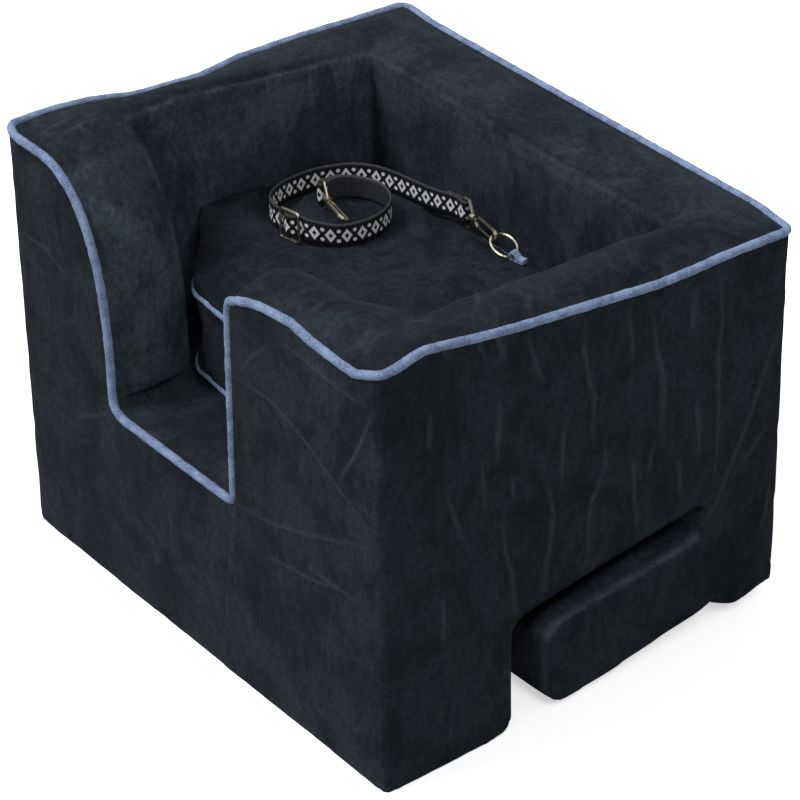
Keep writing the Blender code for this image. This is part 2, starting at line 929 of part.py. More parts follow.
def settle(x, y, z):
    """The cushion's sag at the middle of the back, fading towards its base."""
    across = math.exp(-((x / sag_half_width) ** 2))
    along = max(y, 0) / well_back
    share = (z - sill_height) / (cushion_edge_height - sill_height)
    return Vector((x, y, z - cushion_rear_sag * across * along ** 2 * min(share, 1)))


def ring(inset, height, share=1.0):
    """The cushion's outline moved inwards, shrunk about its middle by a share, at a height."""
    middle = cushion_middle * (1 - share)
    return [settle(x * share, y * share + middle, height) for x, y in offset(outline, inset, closed=True)]


def centre_point(height):
    return [settle(0, cushion_middle, height)]


def crown(share):
    return cushion_edge_height + cushion_crown * (1 - share ** crown_power)


def loft(name, rows, material, closed=False):
    """A solid through rings of points, each bridged to the next. A ring of one point ends in a fan."""
    work = bmesh.new()
    rings = [[work.verts.new(point) for point in row] for row in rows]
    pairs = list(zip(rings, rings[1:])) + ([(rings[-1], rings[0])] if closed else [])
    for lower, upper in pairs:
        count = max(len(lower), len(upper))
        if count == 1:
            continue
        for i in range(count):
            j = (i + 1) % count
            loop = [lower[i % len(lower)], lower[j % len(lower)]]
            loop += [upper[j % len(upper)], upper[i % len(upper)]]
            work.faces.new(list(dict.fromkeys(loop)))
    bmesh.ops.recalc_face_normals(work, faces=work.faces)
    mesh = bpy.data.meshes.new(name)
    work.to_mesh(mesh)
    work.free()
    return finish(bpy.data.objects.new(name, mesh), material)


def top_rings(drop, first_inset, first_share):
    """Rings of the crowned top, from its edge to its middle, lowered by a drop."""
    edge = (first_inset, crown(first_share) - drop)
    shoulder = (panel_inset + edge_roll, crown(shoulder_share) - drop)
    start = [edge] if first_inset < shoulder[0] else []
    rows = [ring(inset, height) for inset, height in [*start, shoulder]]
    rows += [ring(panel_inset, crown(share) - drop, share) for share in crown_ring_shares]
    return [*rows, centre_point(crown(0) - drop)]


panel_inset = 2 * cushion_piping_radius + seam_gap
edge_share = 0.989
shoulder_share = 0.945
cushion_base = sill_height + cushion_base_lift


def cushion_pieces():
    inner = cloth + cushion_gap
    outer_top = top_rings(0, panel_inset, edge_share)
    inner_top = top_rings(cloth, panel_inset, edge_share)
    top = loft("cushion_top", outer_top + inner_top[::-1], suede, closed=True)
    low = cushion_low_edge + cushion_piping_radius + seam_gap
    high = cushion_edge_height - cushion_piping_radius - seam_gap
    levels = [low + (high - low) * i / 3 for i in range(4)]
    draws = [boxing_inset + boxing_draw * math.sin(math.pi * i / 3) for i in range(4)]
    outside = [ring(draw, level) for draw, level in zip(draws, levels)]
    inside = [ring(draw + cloth, level) for draw, level in zip(draws, levels)]
    loft("cushion_boxing", outside + inside[::-1], suede, closed=True)
    brim = cushion_low_edge - cloth * brim_share
    lower_outer = [ring(panel_inset, brim), ring(bottom_roll, cushion_base), centre_point(cushion_base)]
    floor = cushion_base + cloth
    lower_inner = [
        ring(panel_inset + cloth / 3, brim + cloth),
        ring(bottom_roll + cloth / 2, floor),
        centre_point(floor),
    ]
    loft("cushion_bottom", lower_outer + lower_inner[::-1], suede, closed=True)
    core_floor = floor + cushion_gap
    core = [centre_point(core_floor), ring(bottom_roll + cloth / 2 + cushion_gap, core_floor)]
    core += [ring(panel_inset + cloth / 2, cushion_low_edge + cloth / 2)]
    core_levels = [levels[0] + core_trim, *levels[1:-1], levels[-1] - core_trim]
    core += [ring(draw + inner, level) for draw, level in zip(draws, core_levels)]
    core += [ring(panel_inset + cloth / 2, cushion_edge_height + seam_gap)]
    core += top_rings(inner, panel_inset + edge_roll, shoulder_share)
    loft("cushion_foam", core, foam)
    edges = {"cushion_top_piping": cushion_edge_height, "cushion_bottom_piping": cushion_low_edge}
    for name, height in edges.items():
        path = ring(cushion_piping_radius, height)
        finish(to_mesh(tube(name, path, cushion_piping_radius, cyclic=True)), piping_cloth)
    return top


cushion_top = cushion_pieces()


# Lead: a strap that stands on its edge on the cushion, doubled round an eye bar at each end


top_tree = BVHTree.FromPolygons(
    [vertex.co for vertex in cushion_top.data.vertices],
    [polygon.vertices for polygon in cushion_top.data.polygons],
)


def top_height(x, y):
    """Height of the cushion's top, the highest within a short reach of a point."""
    reach = webbing_spacing / 2
    highest = 0
    for dx in (-reach, 0, reach):
        for dy in (-reach, 0, reach):
            found = top_tree.ray_cast(Vector((x + dx, y + dy, front_height)), Vector((0, 0, -1)))[0]
            highest = max(highest, found.z) if found else highest
    return highest


def smooth_route(points, spacing):
    """Points at an even spacing on a smooth line through the given ones."""
    fine = []
    for i in range(len(points) - 1):
        a = Vector(points[max(i - 1, 0)])
        b = Vector(points[i])
        c = Vector(points[i + 1])
        d = Vector(points[min(i + 2, len(points) - 1)])
        steps = 8
        for step in range(steps):
            t = step / steps
            curve = b * 2 + (c - a) * t + (a * 2 - b * 5 + c * 4 - d) * t * t
            curve += (b * 3 - a - c * 3 + d) * t ** 3
            fine.append(curve / 2)
    fine.append(Vector(points[-1]))
    total = sum((b - a).length for a, b in zip(fine, fine[1:]))
    count = round(total / spacing)
    placed = []
    travelled = 0
    for a, b in zip(fine, fine[1:]):
        length = (b - a).length
        while len(placed) <= count and len(placed) * total / count <= travelled + length:
            placed.append(a.lerp(b, (len(placed) * total / count - travelled) / length))
        travelled += length
    if len(placed) <= count:
        placed.append(fine[-1])
    return placed, total


def ease(value):
    value = min(max(value, 0), 1)
    return value * value * (3 - 2 * value)


lead_points = [(x, well_back + y) for x, y in lead_route]
route, route_length = smooth_route(lead_points, webbing_spacing)
step_length = route_length / (len(route) - 1)
places = [i * step_length for i in range(len(route))]
adjuster_guide = Vector(lead_points[int(adjuster_place)]).lerp(
    Vector(lead_points[int(adjuster_place) + 1]), adjuster_place % 1
)
adjuster_index = min(range(len(route)), key=lambda i: (route[i] - adjuster_guide).length)
adjuster_at = places[adjuster_index]


def direction_at(i):
    return (route[min(i + 1, len(route) - 1)] - route[max(i - 1, 0)]).normalized()


def side_of(heading):
    return Vector((-heading.y, heading.x))


def lead_height(i):
    """Height of the strap's middle line, raised near each fitting so that the metal clears the cushion."""
    base = top_height(*route[i]) + webbing_lift + webbing_width / 2
    near = min(places[i], route_length - places[i], abs(places[i] - adjuster_at))
    return base + fitting_lift * (1 - ease((near - adjuster_length / 2) / fitting_lift_reach))


raw_heights = [lead_height(i) for i in range(len(route))]
heights = []
for i in range(len(route)):
    nearby = raw_heights[max(i - 1, 0) : i + 2]
    heights.append(max(nearby) / 2 + sum(nearby) / len(nearby) / 2)
outer_bar = Vector((*route[0], heights[0]))
inner_bar = Vector((*route[-1], heights[-1]))


def weave(place):
    """Sideways shift of the strap as it passes the adjuster's three bars."""
    spacing = adjuster_length / 2 - adjuster_wire
    depth = adjuster_wire + weave_gap + webbing_thickness / 2
    away = abs(place - adjuster_at) / spacing
    if away <= 1:
        return -depth * math.cos(math.pi * away)
    return depth * (1 - ease(away - 1))


def strap_path():
    """The strap's middle line: round the outer bar, along the route, round the inner bar."""
    ply = (webbing_thickness + return_gap) / 2
    turn_radius = wire_radius + fold_gap + webbing_thickness / 2

    def main(i):
        near = min(places[i], route_length - places[i])
        shift = ply * (1 - ease((near - sewn_return) / fold_start / 2)) + weave(places[i])
        return Vector((*(route[i] + side_of(direction_at(i)) * shift), heights[i]))

    def returned(i):
        return Vector((*(route[i] - side_of(direction_at(i)) * ply), heights[i]))

    def fold(bar, heading):
        side = side_of(heading)
        turns = [math.pi / 2 - math.pi * i / 6 for i in range(7)]
        flat = [(heading * math.cos(turn) + side * math.sin(turn)) * turn_radius for turn in turns]
        return [bar + Vector((*offset_by, 0)) for offset_by in flat]

    start = [i for i in range(len(route)) if fold_start < places[i] < sewn_return]
    end = [i for i in range(len(route)) if fold_start < route_length - places[i] < sewn_return]
    middle = [i for i in range(len(route)) if fold_start < places[i] < route_length - fold_start]
    head = [returned(i) for i in reversed(start)] + fold(outer_bar, -direction_at(0))
    body = [main(i) for i in middle]
    tail = fold(inner_bar, direction_at(len(route) - 1)) + [returned(i) for i in reversed(end)]
    return head + body + tail


def strap():
    curve = tube("lead_webbing", strap_path(), webbing_thickness / 2, resolution=0)
    curve.data.twist_mode = "Z_UP"
    curve.data.extrude = webbing_width / 2 - webbing_thickness / 2
    finish(to_mesh(curve), webbing)


strap()


def wire(name, points, radius, cyclic=False, radii=()):
    """A round wire as a mesh, with the points' own shares of its radius if they are given."""
    curve = tube(name, points, radius, cyclic)
    for point, share in zip(curve.data.splines[0].points, radii):
        point.radius = share
    return to_mesh(curve)


def place(obj, origin, heading, roll=0.0):
    """Sets a piece made along +X, upright, at a point with a heading, rolled about its own length."""
    turn = Matrix.Rotation(math.atan2(heading[1], heading[0]), 4, "Z") @ Matrix.Rotation(roll, 4, "X")
    obj.data.transform(turn)
    obj.location = origin
    return obj


def cylinder(name, radius, start, end):
    """A round bar along X."""
    work = bmesh.new()
    bmesh.ops.create_cone(work, cap_ends=True, segments=12, radius1=radius, radius2=radius, depth=end - start)
    mesh = bpy.data.meshes.new(name)
    work.to_mesh(mesh)
    work.free()
    mesh.transform(Matrix.Translation(((start + end) / 2, 0, 0)) @ Matrix.Rotation(math.pi / 2, 4, "Y"))
    return bpy.data.objects.new(name, mesh)


def fitting(prefix, bar, heading, roll):
    """A strap eye with its collar, and a swivel snap hook with a sprung gate."""
    half = webbing_width / 2 + eye_margin + wire_radius
    waist = collar_radius * waist_share
    arm = eye_depth / 2
    loop = [(0, 0, -half), (0, 0, half), (arm, 0, half)]
    loop += [(eye_depth, 0, waist), (eye_depth, 0, -waist), (arm, 0, -half)]
    eye = finish(place(wire(f"{prefix}_eye", loop, wire_radius, cyclic=True), bar, heading), nickel)
    start = eye_depth - wire_radius - seam_gap
    end = start + collar_length
    collar = as_cutter(place(cylinder(f"{prefix}_collar", collar_radius, start, end), bar, heading))
    bore_radius = hook_wire_radius + bore_gap
    drill = cylinder(f"{prefix}_bore", bore_radius, start - wire_radius, end + wire_radius)
    bore = as_cutter(place(drill, bar, heading))
    boolean(eye, collar, "UNION")
    boolean(eye, bore)
    head_end = start - seam_gap - bore_gap
    nose_centre = hook_nose - hook_half_width
    nose = [
        (nose_centre + a, 0, b)
        for a, b in arc((0, 0), hook_half_width, math.pi / 2, -math.pi / 2, 6)
    ]
    neck = hook_shoulder + hook_half_width * neck_share
    points = [(head_end - head_length, 0, 0), (head_end, 0, 0), (head_end, 0, 0), (hook_shoulder, 0, 0)]
    points[2] = (head_end + seam_gap / 3, 0, 0)
    points += [(neck, 0, hook_half_width), *nose, (hook_tip, 0, -hook_half_width)]
    head_share = head_radius / hook_wire_radius
    shares = [head_share, head_share] + [1.0] * (len(points) - 2)
    hook_wire = wire(f"{prefix}_hook", points, hook_wire_radius, radii=shares)
    hook = finish(place(hook_wire, bar, heading, roll), nickel)
    lug_end = gate_start - gate_gap
    lug_path = [(hook_shoulder - hook_wire_radius, 0, 0), (lug_end - hook_wire_radius, 0, -hook_half_width)]
    lug_path.append((lug_end, 0, -hook_half_width))
    lug = as_cutter(place(wire(f"{prefix}_lug", lug_path, hook_wire_radius), bar, heading, roll))
    boolean(hook, lug, "UNION")
    gate_path = [(0, 0, 0), (hook_tip - gate_gap - gate_start, 0, 0)]
    turn = Matrix.Rotation(math.atan2(heading[1], heading[0]), 3, "Z") @ Matrix.Rotation(roll, 3, "X")
    hinge = bar + turn @ Vector((gate_start, 0, -hook_half_width))
    finish(place(wire(f"{prefix}_gate", gate_path, gate_radius), hinge, heading, roll), nickel)


fitting("outer", outer_bar, outer_heading, 0)
fitting("inner", inner_bar, inner_heading, inner_roll)


def ring_and_tab():
    """The ring that the outer hook holds, and the cloth tab that ties it to the cushion."""
    hook_way = Vector(outer_heading).normalized()
    crossing = outer_bar + Vector((*hook_way, 0)) * ring_seat
    way = Vector(ring_heading).normalized()
    drop = math.sqrt((2 * ring_radius) ** 2 - ring_reach ** 2)
    low = crossing + Vector((*(way * ring_reach), -drop))
    along = (low - crossing).normalized()
    across = Vector((*side_of(way), 0))
    turns = [2 * math.pi * i / 24 for i in range(24)]
    circle = [
        (along * math.cos(turn) + across * math.sin(turn) - along) * ring_radius
        for turn in turns
    ]
    ring_wire = finish(wire("ring", circle, ring_wire_radius, cyclic=True), nickel)
    ring_wire.location = low
    inner = ring_wire_radius + tab_fold_gap
    turn = arc((0, 0), inner, -math.pi / 2, -3 * math.pi / 2, 6)
    lower = [(tab_tail, -inner)]
    upper = [(tab_tail / 2, -inner + seam_gap), (tab_tail, -inner + seam_gap)]
    line = lower + turn + upper
    shape = plate("ring_tab", strip(line, tab_thickness), "Y", -tab_width / 2, tab_width / 2)
    finish(place(shape, low, ring_heading), webbing)


ring_and_tab()


def adjuster():
    """A three-bar slide: a rectangular wire frame with a middle bar, the strap woven through it."""
    half_length = adjuster_length / 2 - adjuster_wire
    half_height = adjuster_height / 2 - adjuster_wire
    corners = rounded(
        [
            (-half_length, -half_height, 2 * adjuster_wire),
            (half_length, -half_height, 2 * adjuster_wire),
            (half_length, half_height, 2 * adjuster_wire),
            (-half_length, half_height, 2 * adjuster_wire),
        ],
        steps=3,
    )
    centre = Vector((*route[adjuster_index], heights[adjuster_index]))
    heading = direction_at(adjuster_index)
    outer_wire = wire("lead_adjuster", [(a, 0, b) for a, b in corners], adjuster_wire, cyclic=True)
    frame = finish(place(outer_wire, centre, heading), nickel)
    bar_radius = adjuster_wire * bar_share
    bar = wire("adjuster_bar", [(0, 0, -half_height), (0, 0, half_height)], bar_radius)
    boolean(frame, as_cutter(place(bar, centre, heading)), "UNION")


adjuster()
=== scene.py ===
import math
import random

import bmesh
import bpy
import numpy as np
from mathutils import Matrix, Vector
from mathutils.kdtree import KDTree


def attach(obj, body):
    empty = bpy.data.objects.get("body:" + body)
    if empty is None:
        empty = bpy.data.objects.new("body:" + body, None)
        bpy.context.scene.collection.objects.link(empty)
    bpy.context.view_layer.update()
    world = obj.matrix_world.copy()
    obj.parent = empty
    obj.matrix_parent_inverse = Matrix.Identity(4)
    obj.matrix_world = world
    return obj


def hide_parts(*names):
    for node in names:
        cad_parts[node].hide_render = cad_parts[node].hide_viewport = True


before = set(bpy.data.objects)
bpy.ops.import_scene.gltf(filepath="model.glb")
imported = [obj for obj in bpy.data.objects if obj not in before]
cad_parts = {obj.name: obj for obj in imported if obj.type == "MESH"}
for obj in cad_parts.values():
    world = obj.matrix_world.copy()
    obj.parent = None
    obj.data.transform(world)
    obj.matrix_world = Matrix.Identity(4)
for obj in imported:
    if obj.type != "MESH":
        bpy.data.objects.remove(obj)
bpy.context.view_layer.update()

random.seed(11)

# The seat's own sizes, in metres, as the frame has them
seat = {
    "halfWidth": 0.2275,
    "halfDepth": 0.191,
    "frontHeight": 0.356,
    "rimFall": 0.021,
    "sillHeight": 0.163,
    "sideWall": 0.0525,
    "backWall": 0.076,
    "frontWall": 0.074,
    "pipingRadius": 0.0034,
    "pipingInset": 0.0010,
    "rimInset": 0.0058,
    "legBack": -0.072,
    "slotEnd": 0.112,
    "tongueTip": -0.036,
    "footFront": 0.150,
    "tongueRoot": 0.125,
}
wellHalf = seat["halfWidth"] - seat["sideWall"]
wellBack = seat["halfDepth"] - seat["backWall"]
wellFront = -seat["halfDepth"] + seat["frontWall"]


def addObject(name, data):
    made = bpy.data.objects.new(name, data)
    bpy.context.scene.collection.objects.link(made)
    return made


# Camera and studio

cameraSet = {
    "azimuth": 52.29,
    "elevation": 33.0585,
    "roll": -0.9767,
    "distance": 2.635,
    "lens": 157.5,
    "target": (0.0387, -0.0263, 0.178),
}


def makeCamera():
    azimuth = math.radians(cameraSet["azimuth"])
    elevation = math.radians(cameraSet["elevation"])
    back = Vector((
        math.sin(azimuth) * math.cos(elevation),
        -math.cos(azimuth) * math.cos(elevation),
        math.sin(elevation),
    ))
    data = bpy.data.cameras.new("camera")
    data.lens = cameraSet["lens"]
    data.sensor_width = 36
    camera = addObject("camera", data)
    camera.rotation_mode = "QUATERNION"
    facing = (-back).to_track_quat("-Z", "Y").to_matrix()
    turned = facing @ Matrix.Rotation(math.radians(cameraSet["roll"]), 3, "Z")
    camera.rotation_quaternion = turned.to_quaternion()
    camera.location = Vector(cameraSet["target"]) + back * cameraSet["distance"]
    bpy.context.scene.camera = camera


makeCamera()
print("camera in place")


# Shader maths: a wire is one socket, and sums on wires add Math nodes


class Wire:
    def __init__(self, tree, socket):
        self.tree = tree
        self.socket = socket

    def maths(self, operation, *others):
        return self.tree.node("Math", {"operation": operation}, dict(enumerate([self, *others])))

    def __add__(self, other):
        return self.maths("ADD", other)

    def __sub__(self, other):
        return self.maths("SUBTRACT", other)

    def __rsub__(self, other):
        return self.tree.node("Math", {"operation": "SUBTRACT"}, {0: other, 1: self})

    def __mul__(self, other):
        return self.maths("MULTIPLY", other)

    def __truediv__(self, other):
        return self.maths("DIVIDE", other)

    def __rtruediv__(self, other):
        return self.tree.node("Math", {"operation": "DIVIDE"}, {0: other, 1: self})

    def __pow__(self, other):
        return self.maths("POWER", other)

    __radd__ = __add__
    __rmul__ = __mul__

    def clip(self, low=0.0, high=1.0):
        return self.tree.node("Clamp", {}, {0: self, "Min": low, "Max": high})

    def between(self, low, high):
        settings = {"interpolation_type": "SMOOTHSTEP"}
        return self.tree.node("MapRange", settings, {0: self, "From Min": low, "From Max": high})

    def most(self, other):
        return self.maths("MAXIMUM", other)


class NodeTree:
    def __init__(self, owner):
        owner.use_nodes = True
        self.nodes = owner.node_tree.nodes
        self.links = owner.node_tree.links
        self.nodes.clear()

    def node(self, kind, settings=None, inputs=None, output=0):
        made = self.nodes.new("ShaderNode" + kind)
        for key, value in (settings or {}).items():
            setattr(made, key, value)
        for key, value in (inputs or {}).items():
            self.give(made.inputs[key], value)
        return Wire(self, made.outputs[output]) if made.outputs else None

    def give(self, socket, value):
        if isinstance(value, Wire):
            self.links.new(value.socket, socket)
        elif hasattr(value, "__len__") and socket.type == "RGBA":
            socket.default_value = (*value[:3], 1)
        else:
            socket.default_value = value


class Finish(NodeTree):
    # one material, with its Principled shader
    def __init__(self, name):
        self.material = bpy.data.materials.new(name)
        super().__init__(self.material)
        shader = self.node("BsdfPrincipled")
        self.shader = shader.socket.node
        self.node("OutputMaterial", {}, {0: shader})
        self.placeWire = None

    def place(self):
        if self.placeWire is None:
            self.placeWire = self.node("TexCoord", output="Object")
        return self.placeWire

    def stretched(self, scale):
        return self.node("Mapping", {}, {"Vector": self.place(), "Scale": scale})

    def noise(self, scale, detail=3.0, roughness=0.5, distortion=0.0, vector=None):
        given = {"Vector": vector or self.place(), "Scale": scale, "Detail": detail}
        given |= {"Roughness": roughness, "Distortion": distortion}
        return self.node("TexNoise", {}, given)

    def blend(self, share, first, second):
        settings = {"data_type": "RGBA"}
        return self.node("Mix", settings, {0: share, 6: first, 7: second}, output=2)

    def bump(self, height, distance, strength):
        return self.node("Bump", {}, {"Height": height, "Distance": distance, "Strength": strength})

    def set(self, **values):
        for key, value in values.items():
            self.give(self.shader.inputs[key.replace("_", " ")], value)


def tone(red, green, blue):
    # a colour as the screen shows it, 0 to 255, turned into light
    shares = [value / 255 for value in (red, green, blue)]
    return tuple(s / 12.92 if s <= 0.04045 else ((s + 0.055) / 1.055) ** 2.4 for s in shares)


# Finishes


def makeSuede():
    finish = Finish("charcoalSuede")
    patches = finish.noise(13.0, 6, 0.66, 0.9)
    streaks = finish.noise(42.0, 5, 0.7, 1.4, finish.stretched((1.0, 1.0, 0.35)))
    specks = finish.noise(230.0, 3, 0.7)
    fibre = finish.noise(1300.0, 2, 0.7)
    napAndPaintedLight = (patches * 0.6 + streaks * 0.4).between(0.40, 0.62)
    # wear and painted highlights: rubbed corner welts, painted highlights on the crease ridges and along the
    # channel shelf's outer edge
    wearAndHighlight = finish.node("Attribute", {"attribute_name": "wearAndHighlight"}, output="Fac").clip()
    grain = specks.between(0.3, 0.7)
    dark = finish.blend(grain, tone(20, 24, 30), tone(30, 35, 42))
    light = finish.blend(grain, tone(37, 43, 50), tone(51, 57, 65))
    brushed = finish.blend(napAndPaintedLight, dark, light)
    # paler where the cloth is worn and where a highlight is painted
    rubAndHighlight = finish.blend(wearAndHighlight * 0.36, brushed, tone(84, 90, 96))
    speckled = finish.blend(fibre.between(0.45, 0.8) * 0.3, rubAndHighlight, tone(74, 80, 88))
    # painted light and shade: each face is scaled paler or darker for how the light falls on it
    paintedLightScale = finish.node("Attribute", {"attribute_name": "napAndPaintedLight"}, output="Fac")
    height = fibre * 0.3 + specks * 0.35 + streaks * 0.35
    finish.set(
        Base_Color=finish.node("VectorMath", {"operation": "SCALE"}, {0: speckled, "Scale": paintedLightScale}),
        Roughness=0.78 + napAndPaintedLight * 0.16,
        Sheen_Weight=0.02,
        Sheen_Roughness=0.4,
        Specular_IOR_Level=0.03,
        Normal=finish.bump(height, 0.0009, 0.6),
    )
    return finish.material


def makePipingCloth():
    finish = Finish("bluePiping")
    fuzz = finish.noise(900.0, 3, 0.7)
    patches = finish.noise(90.0, 3, 0.6)
    base = finish.blend(patches.between(0.35, 0.65), tone(80, 98, 130), tone(114, 134, 166))
    base = finish.blend(fuzz.between(0.4, 0.75) * 0.65, base, tone(168, 184, 208))
    finish.set(
        Base_Color=base,
        Roughness=0.85 + fuzz * 0.1,
        Sheen_Weight=0.1,
        Sheen_Roughness=0.5,
        Specular_IOR_Level=0.05,
        Normal=finish.bump(fuzz, 0.0008, 0.6),
    )
    return finish.material


def makeNickel():
    finish = Finish("wornNickel")
    wear = finish.noise(220.0, 4, 0.6)
    scratches = finish.noise(900.0, 2, 0.5, 0, finish.stretched((1, 4, 1)))
    base = finish.blend(wear.between(0.4, 0.7), tone(206, 198, 182), tone(150, 138, 116))
    finish.set(
        Base_Color=base,
        Metallic=1.0,
        Roughness=0.18 + wear * 0.22,
        Normal=finish.bump(scratches, 0.00004, 0.4),
    )
    return finish.material


def makeZipMetal():
    finish = Finish("blackZip")
    wear = finish.noise(500.0, 3, 0.6)
    base = finish.blend(wear.between(0.45, 0.7), tone(32, 33, 36), tone(58, 60, 64))
    finish.set(Base_Color=base, Roughness=0.35 + wear * 0.2, Normal=finish.bump(wear, 0.00005, 0.3))
    return finish.material


suede = makeSuede()
pipingCloth = makePipingCloth()
nickel = makeNickel()
zipMetal = makeZipMetal()
print("finishes made")


# Lines and plates


def arcPoints(centre, radius, start, end, steps):
    turns = [start + (end - start) * i / steps for i in range(steps + 1)]
    return [(centre[0] + radius * math.cos(t), centre[1] + radius * math.sin(t)) for t in turns]


def roundedLine(corners, closed=True, steps=8):
    line = []
    count = len(corners)
    for i, (a, b, radius) in enumerate(corners):
        if radius == 0 or (not closed and i in (0, count - 1)):
            line.append((a, b))
            continue
        here = Vector((a, b))
        before = (Vector(corners[i - 1][:2]) - here).normalized()
        after = (Vector(corners[(i + 1) % count][:2]) - here).normalized()
        halfAngle = before.angle(after) / 2
        reach = radius / math.tan(halfAngle)
        centre = here + (before + after).normalized() * radius / math.sin(halfAngle)
        first = here + before * reach - centre
        last = here + after * reach - centre
        start = math.atan2(first.y, first.x)
        turn = math.atan2(first.cross(last), first.dot(last))
        line += arcPoints(centre, radius, start, start + turn, steps)
    return line


def offsetLine(line, distance, closed=False):
    count = len(line)
    moved = []
    for i, point in enumerate(line):
        here = Vector(point)
        ahead = Vector(line[(i + 1) % count]) - here if closed or i < count - 1 else None
        behind = here - Vector(line[i - 1]) if closed or i > 0 else None
        ahead = ahead or behind
        behind = behind or ahead
        a = Vector((-ahead.y, ahead.x)).normalized()
        b = Vector((-behind.y, behind.x)).normalized()
        normal = (a + b).normalized()
        moved.append((here + normal * distance / max(normal.dot(a), 0.3)).to_tuple())
    return moved


def bezierLine(a, b, c, d, steps):
    line = []
    for i in range(steps + 1):
        t = i / steps
        place = Vector(a) * (1 - t) ** 3 + Vector(b) * 3 * t * (1 - t) ** 2
        place += Vector(c) * 3 * t * t * (1 - t) + Vector(d) * t ** 3
        line.append(place.to_tuple())
    return line


def spacedPoints(points, spacing, closed=False):
    # points at an even spacing along a line in space
    given = np.array([*points, points[0]] if closed else points, float)
    steps = np.linalg.norm(np.diff(given, axis=0), axis=1)
    places = np.concatenate([[0], np.cumsum(steps)])
    count = max(int(round(places[-1] / spacing)), 2)
    wanted = np.linspace(0, places[-1], count + 1)
    found = np.stack([np.interp(wanted, places, given[:, k]) for k in range(given.shape[1])], axis=1)
    return found[:-1] if closed else found


def rimHeight(y):
    return seat["frontHeight"] - seat["rimFall"] * (y + seat["halfDepth"]) / (2 * seat["halfDepth"])


def rakeHeight(y, z):
    share = (rimHeight(y) - seat["sillHeight"]) / (seat["frontHeight"] - seat["sillHeight"])
    return z if z <= seat["sillHeight"] else seat["sillHeight"] + (z - seat["sillHeight"]) * share


def corners(left, right, front, back):
    return [(left, front), (right, front), (right, back), (left, back)]


def plateObject(name, outline, axis, low, high):
    # a prism: the outline is (y, z), (x, z) or (x, y) for the axis X, Y or Z
    work = bmesh.new()
    order = {"X": (2, 0, 1), "Y": (0, 2, 1), "Z": (0, 1, 2)}[axis]
    rings = []
    for level in (low, high):
        places = [(a, b, level) for a, b in outline]
        rings.append([work.verts.new([place[k] for k in order]) for place in places])
    lower, upper = rings
    work.faces.new(lower[::-1])
    work.faces.new(upper)
    for i in range(len(outline)):
        j = (i + 1) % len(outline)
        work.faces.new([lower[i], lower[j], upper[j], upper[i]])
    bmesh.ops.recalc_face_normals(work, faces=work.faces)
    mesh = bpy.data.meshes.new(name)
    work.to_mesh(mesh)
    work.free()
    return addObject(name, mesh)


def formObject(name, points, faces, material):
    mesh = bpy.data.meshes.new(name)
    mesh.from_pydata(points, [], faces)
    mesh.shade_smooth()
    mesh.materials.append(material)
    return addObject(name, mesh)


def ringFaces(size, rings, closed=False, flipped=False):
    # the quads between rings of points that follow each other, and the caps of an open tube
    faces = []
    for i in range(rings if closed else rings - 1):
        j = (i + 1) % rings
        for k in range(size):
            m = (k + 1) % size
            quad = [i * size + k, j * size + k, j * size + m, i * size + m]
            faces.append(quad[:1] + quad[:0:-1] if flipped else quad)
    if not closed:
        caps = [list(range(size)), list(range((rings - 1) * size, rings * size))[::-1]]
        faces += [cap[::-1] for cap in caps] if flipped else caps
    return faces


def applyModifiers(made):
    graph = bpy.context.evaluated_depsgraph_get()
    mesh = bpy.data.meshes.new_from_object(made.evaluated_get(graph))
    made.modifiers.clear()
    made.data = mesh
    return made


def remeshed(made, voxel):
    step = made.modifiers.new("remesh", "REMESH")
    step.mode = "VOXEL"
    step.voxel_size = voxel
    return applyModifiers(made)


def cutWith(made, other):
    step = made.modifiers.new("cut", "BOOLEAN")
    step.operation = "DIFFERENCE"
    step.object = other
    step.solver = "EXACT"
    applyModifiers(made)
    bpy.data.objects.remove(other)


def paint(name, material):
    # gives a node of the frame its finish
    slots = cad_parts[name].data.materials
    slots.clear()
    slots.append(material)


# Clip-on lead: a strap that stands on its edge on the cushion

